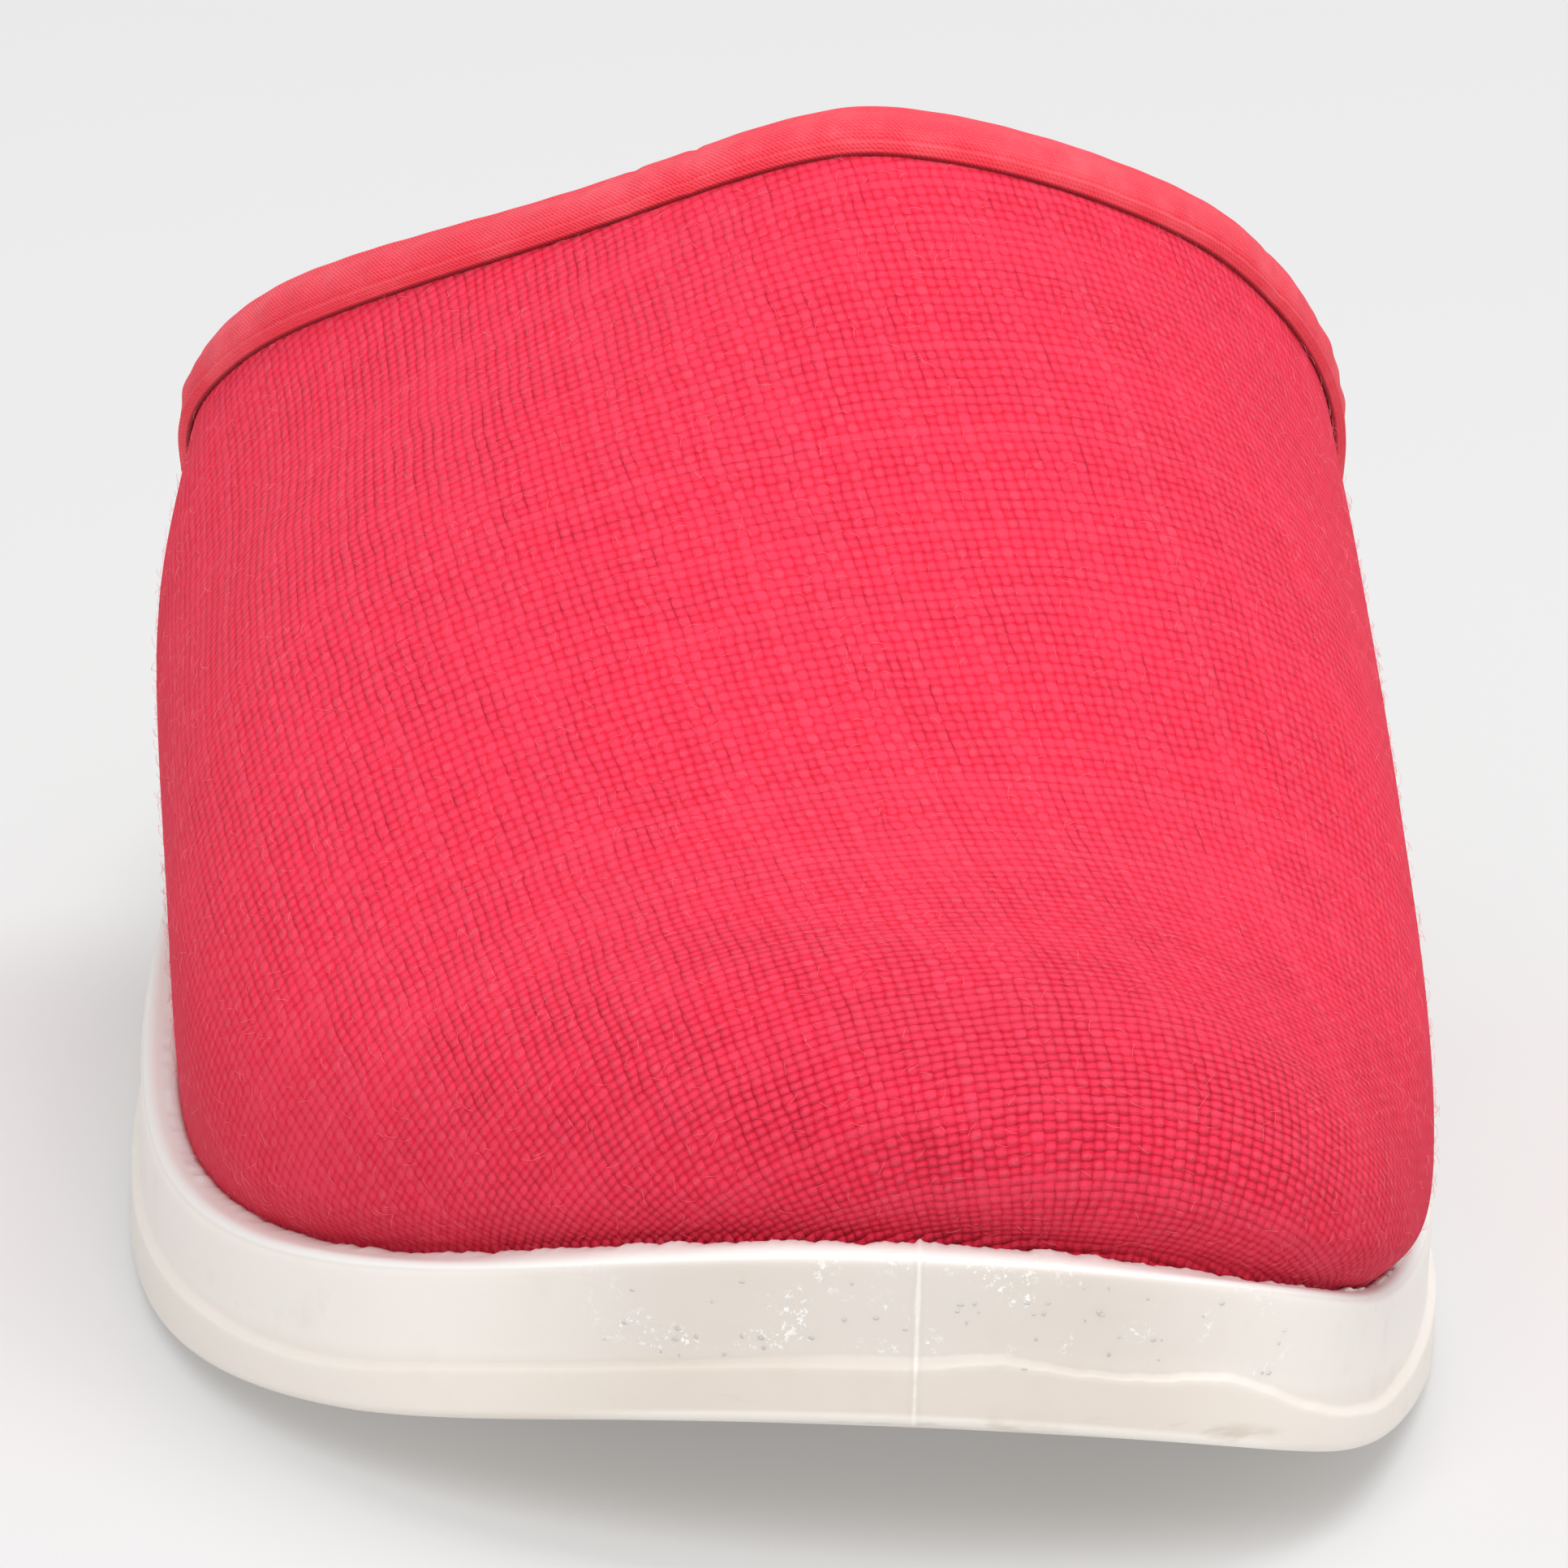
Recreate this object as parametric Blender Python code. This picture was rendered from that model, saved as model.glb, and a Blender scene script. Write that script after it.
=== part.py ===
"""A clog slipper for the right foot: moulded sole, insole, canvas upper and collar binding.

Metres, +Z up, toe towards -Y, the big toe's side towards +X, the origin on the floor under
the middle of the sole. Every solid is worked out from the sizes and the short tables below.
"back" is the distance behind the toe tip; a side is +1 for the inner and -1 for the outer.
"""

import math

import bmesh
import bpy
import numpy as np
from mathutils import Matrix

# Driving sizes of the slipper.
LENGTH = 0.265
BALL_WIDTH = 0.100
TOE_SPRING = 0.0133
SPRING_REACH = 0.093
SPRING_CURVE = 3.2
ARCH_LIFT = 0.003
ARCH_FROM, ARCH_TO = 0.44, 0.70
HEEL_ROLL = 0.0015
HEEL_ROLL_FROM = 0.93

# Sole: its bands, the recess that takes the upper and the insole, and the tread.
BAND_HEIGHT = 0.0046
BAND_STEP = 0.0005
BOTTOM_ROUND = 0.0018
EDGE_ROUND = 0.0012
RECESS_DEPTH = 0.0040
GROOVE_WIDTH = 0.0024
GROOVE_DEPTH = 0.0018
GROOVE_WAVE = 0.0030
GROOVE_PITCH = 0.0090
GROOVE_MARGIN = 0.009
TREAD_ZONES = ((0.16, 0.42), (0.73, 0.93))

# Upper, binding and insole.
GAP = 0.0003
WALL = 0.0018
TAPE = 0.0008
TAPE_WIDTH = 0.0048
TAPE_CLEAR = 0.03
FOLD_SLACK = 0.0004
INSOLE_PROUD = 0.0012
INSOLE_DISH = 0.0010
INSOLE_ROUND = 0.0010

# The outline of the sole, toe to heel and back again.
OUTLINE = (
    # place, back (share of the length), across (share of the ball width)
    ("toe tip", 0.000, 0.135),
    ("big toe", 0.036, 0.376),
    ("big toe side", 0.118, 0.458),
    ("inner ball", 0.270, 0.496),
    ("inner waist", 0.430, 0.462),
    ("arch", 0.600, 0.420),
    ("inner heel", 0.800, 0.362),
    ("inner heel corner", 0.945, 0.240),
    ("heel back", 1.000, -0.010),
    ("outer heel corner", 0.945, -0.262),
    ("outer heel", 0.800, -0.385),
    ("outer waist", 0.600, -0.465),
    ("outer ball", 0.330, -0.498),
    ("little toe joint", 0.190, -0.447),
    ("little toe", 0.088, -0.320),
    ("middle toe", 0.021, -0.122),
)

# The sole's side without the toe spring and the arch, and its ledge outside the upper.
SIDES = (
    # back (share), side height, outer ledge, inner ledge
    (0.00, 0.0119, 0.0038, 0.0039),
    (0.06, 0.0120, 0.0043, 0.0019),
    (0.15, 0.0121, 0.0031, 0.0014),
    (0.30, 0.0128, 0.0025, 0.0020),
    (0.50, 0.0160, 0.0030, 0.0026),
    (0.75, 0.0215, 0.0032, 0.0032),
    (1.00, 0.0240, 0.0036, 0.0036),
)

# The upper: the ridge above the floor, the shoulder (the widest line of the last) above the
# ledge and out from the ledge's inner line, and how full each flank is above the shoulder
# (2 is a quarter of an ellipse, less is leaner).
UPPER = (
    # back (share), ridge, shoulder, outer bulge, inner bulge, outer and inner fullness
    (0.00, 0.0432, 0.0052, 0.0025, 0.0031, 2.20, 2.20),
    (0.17, 0.0500, 0.0060, 0.0024, 0.0026, 2.10, 2.13),
    (0.30, 0.0650, 0.0160, 0.0012, 0.0004, 2.10, 2.13),
    (0.44, 0.0817, 0.0190, 0.0034, 0.0022, 1.05, 1.45),
    (0.60, 0.1012, 0.0232, 0.0064, 0.0030, 1.52, 1.65),
    (0.70, 0.1160, 0.0235, 0.0045, 0.0046, 1.52, 1.65),
)
RIDGE_ACROSS = 0.0048
RIDGE_FRONT = 0.040
RIDGE_SETTLES = 0.060
RIDGE_ROUND = 0.14
NOSE_REACH = 0.016
THROAT_BACK = 0.1172
TOPLINE_FOOT = 0.178
TOPLINE_SHOULDER = 0.156
TOPLINE_RISE = 0.42
TOPLINE_ARCH = 0.50
RIB_LEAN = 1.6

# How finely the faceted solids are drawn.
TAPE_STATIONS = 25
TAPE_STEPS = 2
FOLD_STEPS = 4
RING_PAIRS = 42
RING_CROWD = 1.3
CAP_COLUMNS = 4
UPPER_RIBS = 32
RIB_CROWD = 1.25
WALL_ROWS = 5
TOP_ROWS = 12
ROUND_STEPS = 3


def spline(places, values, closed=False):
    """A smooth curve through a table's rows, as a function of the place along it."""
    places, values = np.asarray(places, float), np.asarray(values, float)
    steps = np.diff(places)
    rise = (np.diff(values, axis=0).T / steps).T
    count = len(places)
    system, right = np.eye(count), np.zeros_like(values)
    for i in range(1, count - 1):
        system[i, i - 1 : i + 2] = steps[i - 1], 2 * (steps[i - 1] + steps[i]), steps[i]
        right[i] = 6 * (rise[i] - rise[i - 1])
    if closed:
        system[0, -1] = -1
        system[-1, :2] = 2 * steps[0], steps[0]
        system[-1, -2:] = steps[-1], 2 * steps[-1]
        right[-1] = 6 * (rise[0] - rise[-1])
    bend = np.linalg.solve(system, right)

    def at(place):
        i = int(np.clip(np.searchsorted(places, place) - 1, 0, count - 2))
        a, b = (places[i + 1] - place) / steps[i], (place - places[i]) / steps[i]
        curved = ((a**3 - a) * bend[i] + (b**3 - b) * bend[i + 1]) * steps[i] ** 2 / 6
        return a * values[i] + b * values[i + 1] + curved

    return at


def smooth_step(value):
    value = min(max(value, 0.0), 1.0)
    return value * value * (3 - 2 * value)


def draw_outline(samples=1600):
    """The sole's outline as (across, back) points from the toe tip round by the inner side."""
    rows = [(across * BALL_WIDTH, back * LENGTH) for _, back, across in OUTLINE]
    rows = np.array(rows + rows[:1])
    chords = np.linalg.norm(np.diff(rows, axis=0), axis=1)
    places = np.concatenate([[0], np.cumsum(chords)])
    curve = spline(places, rows, closed=True)
    points = np.array([curve(p) for p in np.linspace(0, places[-1], samples, endpoint=False)])
    low, high = points.min(axis=0), points.max(axis=0)
    points = (points - low) / (high - low) * [BALL_WIDTH, LENGTH] - [BALL_WIDTH / 2, 0]
    return np.roll(points, -int(points[:, 1].argmin()), axis=0)


class Edge:
    """One side of the sole's outline, looked up by its distance back from the toe tip."""

    def __init__(self, points, side):
        heel = int(points[:, 1].argmax())
        if side > 0:
            run = points[: heel + 1]
        else:
            run = np.concatenate([points[:1], points[:heel - 1 : -1]])
        self.run, self.side = run, side
        self.length = np.concatenate(
            [[0], np.cumsum(np.linalg.norm(np.diff(run, axis=0), axis=1))]
        )
        tangent = np.gradient(run, self.length, axis=0)
        self.normal = np.stack([tangent[:, 1], -tangent[:, 0]], axis=1) * side

    def at(self, distance, inset=0.0):
        """The point at a distance along the edge, moved inwards by inset."""
        point = [np.interp(distance, self.length, self.run[:, k]) for k in (0, 1)]
        normal = [np.interp(distance, self.length, self.normal[:, k]) for k in (0, 1)]
        normal = np.array(normal) / np.hypot(*normal)
        return np.array(point) - inset * normal

    def distance(self, back):
        return float(np.interp(back, self.run[:, 1], self.length))


outline = draw_outline()
EDGES = {side: Edge(outline, side) for side in (1, -1)}
side_row = spline([r[0] * LENGTH for r in SIDES], [r[1:] for r in SIDES])
upper_row = spline([r[0] * LENGTH for r in UPPER], [r[1:] for r in UPPER])


def toe_spring(back):
    return max(0.0, 1 - back / SPRING_REACH) ** SPRING_CURVE * TOE_SPRING


def underside(back):
    """Height of the sole's underside: toe spring, flat ball, arch, flat heel with a roll."""
    share = back / LENGTH
    arch = (min(max(share, ARCH_FROM), ARCH_TO) - ARCH_FROM) / (ARCH_TO - ARCH_FROM)
    roll = max(0.0, share - HEEL_ROLL_FROM) / (1 - HEEL_ROLL_FROM)
    lift = ARCH_LIFT * math.sin(math.pi * arch) ** 2 + HEEL_ROLL * roll**2
    return toe_spring(back) + lift


def ledge(back):
    return toe_spring(back) + side_row(back)[0]


def recess_inset(back, side):
    """How far the recess's wall lies inside the outline."""
    return BAND_STEP + side_row(back)[1 if side < 0 else 2]


def place(across, back, height):
    """A point of the slipper in the part's frame."""
    return (float(across), float(back - LENGTH / 2), float(height))


def new_object(name, points, faces, colour, roughness):
    mesh = bpy.data.meshes.new(name)
    mesh.from_pydata(points, [], faces)
    made = bpy.data.objects.new(name, mesh)
    bpy.context.collection.objects.link(made)
    material = bpy.data.materials.new(name)
    material.use_nodes = True
    shader = material.node_tree.nodes["Principled BSDF"]
    shader.inputs["Base Color"].default_value = (*colour, 1)
    shader.inputs["Roughness"].default_value = roughness
    shader.inputs["Metallic"].default_value = 0.0
    mesh.materials.append(material)
    mesh.shade_smooth()
    mesh.set_sharp_from_angle(angle=math.radians(40))
    return made


def ring(inset, height):
    """Points round the sole, inset(back) inside the outline, at height(back).

    They run from the toe tip by the inner side to the heel, and by the outer side back,
    and stand closer together at the toe.
    """
    points = []
    for side, steps in ((1, range(RING_PAIRS + 1)), (-1, range(RING_PAIRS - 1, 0, -1))):
        edge = EDGES[side]
        for step in steps:
            distance = edge.length[-1] * (step / RING_PAIRS) ** RING_CROWD
            across, back = edge.at(distance, inset(edge.at(distance)[1], side))
            points.append((across, back, height(back)))
    return points


def cap(first, height, points, faces, flip):
    """Closes a ring with rows of faces from its inner to its outer side."""
    count = 2 * RING_PAIRS
    rows = [[first]]
    for pair in range(1, RING_PAIRS):
        inner, outer = first + pair, first + count - pair
        row = [inner]
        for column in range(1, CAP_COLUMNS):
            share = column / CAP_COLUMNS
            across, back = (
                (1 - share) * points[inner][k] + share * points[outer][k] for k in (0, 1)
            )
            row.append(len(points))
            points.append((across, back, height(across, back)))
        rows.append(row + [outer])
    rows.append([first + RING_PAIRS])
    for near, far in zip(rows, rows[1:]):
        for column in range(CAP_COLUMNS):
            a = near[min(column, len(near) - 1)]
            b = near[min(column + 1, len(near) - 1)]
            c = far[min(column + 1, len(far) - 1)]
            d = far[min(column, len(far) - 1)]
            face = list(dict.fromkeys((a, b, c, d)))
            faces.append(face[::-1] if flip else face)


def stack(rings, bottom, top):
    """A closed solid from rings, lowest first, with its two ends capped."""
    count = 2 * RING_PAIRS
    points = [p for each in rings for p in each]
    faces = []
    for level in range(len(rings) - 1):
        base = level * count
        for i in range(count):
            j = (i + 1) % count
            faces.append((base + i, base + j, base + count + j, base + count + i))
    cap(0, bottom, points, faces, flip=False)
    cap((len(rings) - 1) * count, top, points, faces, flip=True)
    return [place(*p) for p in points], faces


def round_profile(radius, steps=ROUND_STEPS):
    """(in, down) offsets of a rounded edge, from its vertical side to its flat top."""
    turns = [math.pi / 2 * step / steps for step in range(steps + 1)]
    return [(radius * (1 - math.cos(a)), radius * (1 - math.sin(a))) for a in turns]


def make_sole():
    rings = []
    for away, up in reversed(round_profile(BOTTOM_ROUND)):
        rings.append(ring(lambda b, s, d=away: d, lambda b, h=up: underside(b) + h))
    rings.append(ring(lambda b, s: 0.0, lambda b: underside(b) + BAND_HEIGHT - BAND_STEP / 2))
    rings.append(ring(lambda b, s: BAND_STEP, lambda b: underside(b) + BAND_HEIGHT))
    for away, down in round_profile(EDGE_ROUND):
        rings.append(
            ring(lambda b, s, d=away: BAND_STEP + d, lambda b, h=down: ledge(b) - h)
        )
    rings.append(ring(recess_inset, ledge))
    rings.append(ring(recess_inset, lambda b: ledge(b) - RECESS_DEPTH))
    points, faces = stack(
        rings,
        lambda across, back: underside(back),
        lambda across, back: ledge(back) - RECESS_DEPTH,
    )
    sole = new_object("sole", points, faces, (0.80, 0.76, 0.69), 0.5)
    cut = sole.modifiers.new("tread", "BOOLEAN")
    cut.operation = "DIFFERENCE"
    cut.object = make_tread_cutter()
    return sole


def make_tread_cutter():
    """Waved bars that cut the grooves between the lugs of the forefoot and the heel."""
    points, faces = [], []
    bends = 10
    for zone_from, zone_to in TREAD_ZONES:
        run = (zone_to - zone_from) * LENGTH
        grooves = round(run / GROOVE_PITCH) + 1
        for groove in range(grooves):
            back = zone_from * LENGTH + run * groove / (grooves - 1)
            inner = EDGES[1].at(EDGES[1].distance(back))[0] - GROOVE_MARGIN
            outer = EDGES[-1].at(EDGES[-1].distance(back))[0] + GROOVE_MARGIN
            first = len(points)
            for bend in range(bends + 1):
                share = bend / bends
                across = outer + (inner - outer) * share
                middle = back + GROOVE_WAVE * math.cos(2 * math.pi * share * 1.5)
                for edge in (-1, 1):
                    at = middle + edge * GROOVE_WIDTH / 2
                    for height in (underside(at) - GROOVE_DEPTH, underside(at) + GROOVE_DEPTH):
                        points.append(place(across, at, height))
            for bend in range(bends):
                a = first + bend * 4
                b = a + 4
                faces += [
                    (a, b, b + 1, a + 1),
                    (a + 2, a + 3, b + 3, b + 2),
                    (a, a + 2, b + 2, b),
                    (a + 1, b + 1, b + 3, a + 3),
                ]
            last = first + bends * 4
            faces += [(first, first + 1, first + 3, first + 2)]
            faces += [(last, last + 2, last + 3, last + 1)]
    cutter = new_object("tread_cutter", points, faces, (0.5, 0.5, 0.5), 0.5)
    cutter.hide_render = True
    cutter.display_type = "WIRE"
    return cutter


def make_insole():
    """The footbed: it fills the recess, inside the upper's wall in front of the topline's foot."""

    def free(back):
        return smooth_step((back - TOPLINE_FOOT - 0.003) / 0.008)

    def inset(back, side):
        return recess_inset(back, side) + GAP + (WALL + GAP) * (1 - free(back))

    def top(back):
        return ledge(back) - GAP + (GAP + INSOLE_PROUD) * free(back)

    rings = [ring(inset, lambda b: ledge(b) - RECESS_DEPTH + GAP)]
    for away, down in round_profile(INSOLE_ROUND):
        rings.append(
            ring(lambda b, s, d=away: inset(b, s) + d, lambda b, h=down: top(b) - h)
        )

    def dished(across, back):
        inner = EDGES[1].at(EDGES[1].distance(back))[0]
        outer = EDGES[-1].at(EDGES[-1].distance(back))[0]
        share = (across - outer) / max(inner - outer, 1e-6)
        return top(back) - INSOLE_DISH * free(back) * math.sin(math.pi * share) ** 2

    points, faces = stack(
        rings, lambda across, back: ledge(back) - RECESS_DEPTH + GAP, dished
    )
    return new_object("insole", points, faces, (0.62, 0.56, 0.48), 0.9)


def wall_point(side, turn, rise):
    """A point of the upper's outer face below its shoulder.

    turn runs from 0 at the toe tip to 1 at the topline, rise from 0 at the ledge to 1 at
    the shoulder, where the face stands upright.
    """
    foot = TOPLINE_FOOT + (TOPLINE_SHOULDER - TOPLINE_FOOT) * rise
    back = foot * (1 - math.cos(math.pi / 2 * turn))
    _, shoulder, outer, inner, _, _ = upper_row(back)
    bulge = inner if side > 0 else outer
    inset = recess_inset(back, side) + GAP - bulge * math.sin(math.pi / 2 * rise)
    edge = EDGES[side]
    across, behind = edge.at(edge.distance(back), inset)
    return np.array([across, behind, ledge(back) + shoulder * rise])


def shoulder_lines(samples=200):
    """For each side, the shoulder as (back, across, height) rows, to be looked up by back."""
    lines = {}
    for side in (1, -1):
        rows = np.array([wall_point(side, t, 1.0) for t in np.linspace(0, 1.05, samples)])
        rows[:, 1] = np.maximum.accumulate(rows[:, 1])
        lines[side] = rows
    return lines


SHOULDERS = shoulder_lines()
NOSE = float(SHOULDERS[1][0][1])


def ridge_point(back):
    """The upper's highest line: it rises round the nose and then up to the throat."""
    across = float(SHOULDERS[1][0][0])
    across += (RIDGE_ACROSS - across) * smooth_step(back / RIDGE_SETTLES)
    base = np.mean([np.interp(back, s[:, 1], s[:, 2]) for s in SHOULDERS.values()])
    curl = 1 - min(max((back - NOSE) / NOSE_REACH, 0.0), 1.0)
    height = base + (upper_row(back)[0] - base) * math.sqrt(max(0.0, 1 - curl * curl))
    return across, height


def shoulder_at(side, back):
    """(across, height) of the shoulder line at a distance behind the toe tip."""
    line = SHOULDERS[side]
    return [np.interp(back, line[:, 1], line[:, k]) for k in (0, 2)]


def top_height(across, back):
    """Height of the upper's outer face above its shoulder line."""
    middle, peak = ridge_point(back)
    side = 1 if across > middle else -1
    widest, base = shoulder_at(side, back)
    share = min(abs((across - middle) / (widest - middle)), 1.0)
    fullness = upper_row(back)[5 if side > 0 else 4]
    fall = math.hypot(share, RIDGE_ROUND) ** fullness - RIDGE_ROUND**fullness
    whole = math.hypot(1, RIDGE_ROUND) ** fullness - RIDGE_ROUND**fullness
    return base + (peak - base) * math.sqrt(1 - fall / whole)


def upper_point(side, turn, level):
    """The upper's outer face. level runs from 0 at the ledge by 1 at the shoulder to 2 at the
    ridge; turn from 0 at the toe tip to 1, where the rib is the topline itself."""
    if level <= 1:
        return wall_point(side, turn, level)
    across, back, _ = wall_point(side, turn, 1.0)
    lean = (1 - math.cos(math.pi / 2 * turn)) ** RIB_LEAN
    ridge_back = RIDGE_FRONT + (THROAT_BACK - RIDGE_FRONT) * lean
    ridge_across, peak = ridge_point(ridge_back)
    if level >= 2:
        return np.array([ridge_across, ridge_back, peak])
    go = (1 - math.cos(math.pi / 2 * (level - 1))) ** (1 - lean / 2)
    rest = 1 - go
    straight = np.array([across * rest + ridge_across * go, back * rest + ridge_back * go])
    forward = 3 * rest**2 * go * TOPLINE_RISE + 3 * rest * go**2 + go**3
    share = rest**3 + 3 * rest**2 * go + 3 * rest * go**2 * TOPLINE_ARCH
    behind = back + (ridge_back - back) * forward
    middle = ridge_point(behind)[0]
    widest = shoulder_at(side, behind)[0]
    swept = np.array([middle + (widest - middle) * share, behind])
    plan = straight * (1 - lean) + swept * lean
    return np.array([*plan, top_height(*plan)])


def make_upper():
    """One wall, drawn as its outer face and thickened inwards."""
    levels = [i / WALL_ROWS for i in range(WALL_ROWS)]
    levels += [1 + i / TOP_ROWS for i in range(TOP_ROWS + 1)]
    points, faces, columns = [], [], []
    for column in range(-UPPER_RIBS, UPPER_RIBS + 1):
        side = 1 if column >= 0 else -1
        turn = 1 - (1 - abs(column) / UPPER_RIBS) ** RIB_CROWD
        foot = wall_point(side, turn, 0.0)
        rows = [len(points)]
        points.append((foot[0], foot[1], foot[2] - RECESS_DEPTH + GAP))
        for level in levels[:-1] if column > 0 else levels:
            rows.append(len(points))
            points.append(tuple(upper_point(side, turn, level)))
        if column > 0:
            rows.append(columns[UPPER_RIBS - column][-1])
        columns.append(rows)
    for left, right in zip(columns, columns[1:]):
        for low in range(len(left) - 1):
            corners = (left[low], right[low], right[low + 1], left[low + 1])
            faces.append(tuple(dict.fromkeys(corners)))
    upper = new_object(
        "upper", [place(*p) for p in points], faces, (0.80, 0.045, 0.12), 0.85
    )
    wall = upper.modifiers.new("wall", "SOLIDIFY")
    wall.thickness = WALL
    wall.offset = -1.0
    wall.use_even_offset = True
    return upper


def slopes(side, turn, level, step=1e-4):
    """A point of the upper's outer face and the way the face runs with turn and with level."""
    here = upper_point(side, turn, level)
    with_turn = (here - upper_point(side, turn - step, level)) / step
    with_level = (here - upper_point(side, turn, level - step)) / step
    return here, with_turn, with_level


def face_normal(side, with_turn, with_level):
    normal = np.cross(with_turn, with_level) * side
    return normal / np.linalg.norm(normal)


def tape_section(side, level):
    """The folded tape cut across at one level: (outside, inside) pairs from hem to hem."""
    here, with_turn, with_level = slopes(side, 1.0, level)
    normal = face_normal(side, with_turn, with_level)
    back = with_turn - with_level * (with_turn @ with_level) / (with_level @ with_level)
    width = TAPE_WIDTH / np.linalg.norm(back)
    back /= np.linalg.norm(back)
    outer, inner = [], []
    for step in range(TAPE_STEPS, 0, -1):
        point, *run = slopes(side, 1.0 - width * step / TAPE_STEPS, level)
        away = face_normal(side, *run)
        outer.append((point + away * (GAP + TAPE), point + away * GAP))
        inner.append((point - away * (WALL + GAP + TAPE), point - away * (WALL + GAP)))
    middle = here - normal * WALL / 2
    fold = []
    for step in range(FOLD_STEPS + 1):
        turn = math.pi * step / FOLD_STEPS
        fold.append(
            tuple(
                middle
                + normal * (WALL / 2 + clear) * math.cos(turn)
                + back * (clear + FOLD_SLACK) * math.sin(turn)
                for clear in (GAP + TAPE, GAP)
            )
        )
    return outer + fold + inner[::-1]


def even_levels(side, samples=120):
    """Levels that lie evenly spaced along the topline."""
    levels = np.linspace(TAPE_CLEAR, 2.0, samples)
    run = np.array([upper_point(side, 1.0, level) for level in levels])
    lengths = np.concatenate([[0], np.cumsum(np.linalg.norm(np.diff(run, axis=0), axis=1))])
    return np.interp(np.linspace(0, lengths[-1], TAPE_STATIONS), lengths, levels)


def make_binding():
    """A tape folded over the topline, from just above the ledge on one side to the other."""
    stations = [(-1, level) for level in even_levels(-1)]
    stations += [(1, level) for level in even_levels(1)[-2::-1]]
    points, faces = [], []
    for station, where in enumerate(stations):
        pairs = tape_section(*where)
        loop = [outside for outside, _ in pairs] + [inside for _, inside in reversed(pairs)]
        count = len(loop)
        points += loop
        if station:
            base = (station - 1) * count
            for i in range(count):
                j = (i + 1) % count
                faces.append((base + j, base + i, base + count + i, base + count + j))
    last = len(points) - count
    for i in range(count // 2 - 1):
        quad = (i, i + 1, count - 2 - i, count - 1 - i)
        faces.append(quad)
        faces.append(tuple(last + corner for corner in reversed(quad)))
    return new_object(
        "binding", [place(*p) for p in points], faces, (0.82, 0.06, 0.14), 0.7
    )


def centre(objects):
    """Moves the slipper so that its box stands centred on the origin."""
    bpy.context.view_layer.update()
    corners = [tuple(c) for o in objects for c in o.bound_box]
    low, high = np.min(corners, axis=0), np.max(corners, axis=0)
    shift = Matrix.Translation((-(low[0] + high[0]) / 2, -(low[1] + high[1]) / 2, -low[2]))
    for each in bpy.data.objects:
        each.data.transform(shift)


def main():
    for old in list(bpy.data.objects):
        bpy.data.objects.remove(old, do_unlink=True)
    centre([make_sole(), make_insole(), make_upper(), make_binding()])


main()
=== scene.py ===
# %% [markdown]
# # Clog slipper: the looks
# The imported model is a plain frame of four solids. This lesson dresses it: canvas with a real
# weave, a folded tape, a moulded rubber sole and a cloth footbed. Every piece is drawn from the
# same sizes and tables as the frame, so the fine shapes lie where the plain ones do.

import math
from functools import partialmethod

import bmesh
import bpy
import numpy as np
from mathutils import Matrix, Vector
from mathutils.bvhtree import BVHTree


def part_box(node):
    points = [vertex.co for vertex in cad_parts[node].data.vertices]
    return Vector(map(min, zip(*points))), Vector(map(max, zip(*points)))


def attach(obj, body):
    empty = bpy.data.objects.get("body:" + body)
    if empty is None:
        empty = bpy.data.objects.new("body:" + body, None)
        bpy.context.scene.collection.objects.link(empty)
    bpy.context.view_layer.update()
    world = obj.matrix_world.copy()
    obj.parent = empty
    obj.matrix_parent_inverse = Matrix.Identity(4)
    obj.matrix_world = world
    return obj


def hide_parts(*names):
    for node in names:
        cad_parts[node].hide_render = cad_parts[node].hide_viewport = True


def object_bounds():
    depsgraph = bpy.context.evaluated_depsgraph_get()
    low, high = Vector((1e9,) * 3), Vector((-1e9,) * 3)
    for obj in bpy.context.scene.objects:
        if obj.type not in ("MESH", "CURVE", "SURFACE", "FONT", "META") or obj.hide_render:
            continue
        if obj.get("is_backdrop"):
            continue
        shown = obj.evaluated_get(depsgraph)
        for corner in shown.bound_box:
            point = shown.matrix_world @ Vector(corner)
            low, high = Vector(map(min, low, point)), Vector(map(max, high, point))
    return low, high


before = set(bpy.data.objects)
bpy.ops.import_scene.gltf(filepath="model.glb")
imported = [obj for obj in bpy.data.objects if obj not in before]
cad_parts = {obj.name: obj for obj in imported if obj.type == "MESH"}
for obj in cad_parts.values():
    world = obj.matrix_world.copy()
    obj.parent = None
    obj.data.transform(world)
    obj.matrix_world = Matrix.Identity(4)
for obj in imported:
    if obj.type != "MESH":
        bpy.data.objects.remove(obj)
cad_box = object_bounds()
print("nodes:", sorted(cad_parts), "box:", cad_box)

# %% [markdown]
# ## Sizes
# A shoemaker works from a last, a form of the foot, and from a few measures. These are the
# measures of this slipper in metres. "Back" is the distance behind the toe tip, "across" is
# measured from the middle, and a side is +1 for the inner (big toe) and -1 for the outer.

# %% The slipper's measures
LENGTH = 0.265
BALL_WIDTH = 0.100
TOE_SPRING = 0.0140  # how far the rim curls up at the toe tip
SPRING_REACH = 0.093  # where that curl starts
SPRING_CURVE = 3.45  # the power it rises by
UNDER_SPRING = 0.0117  # the same three of the underside
UNDER_REACH = 0.110
UNDER_CURVE = 3.3
UNDER_BOW = 0.0011  # how far the front of the underside is hollowed, and where
BOW_MIDDLE = 0.0055
BOW_HALF = 0.036
BOW_ENDS = 0.050
ARCH_LIFT = 0.003  # the waist between ball and heel stands off the floor
ARCH_FROM, ARCH_TO = 0.44, 0.70  # shares of the length
HEEL_ROLL = 0.0015
HEEL_ROLL_FROM = 0.93
BAND_HEIGHT = 0.0046  # the lower of the sole's two bands
BAND_STEP = 0.0005  # how far the upper band lies inside the lower
BOTTOM_ROUND = 0.0007
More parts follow.
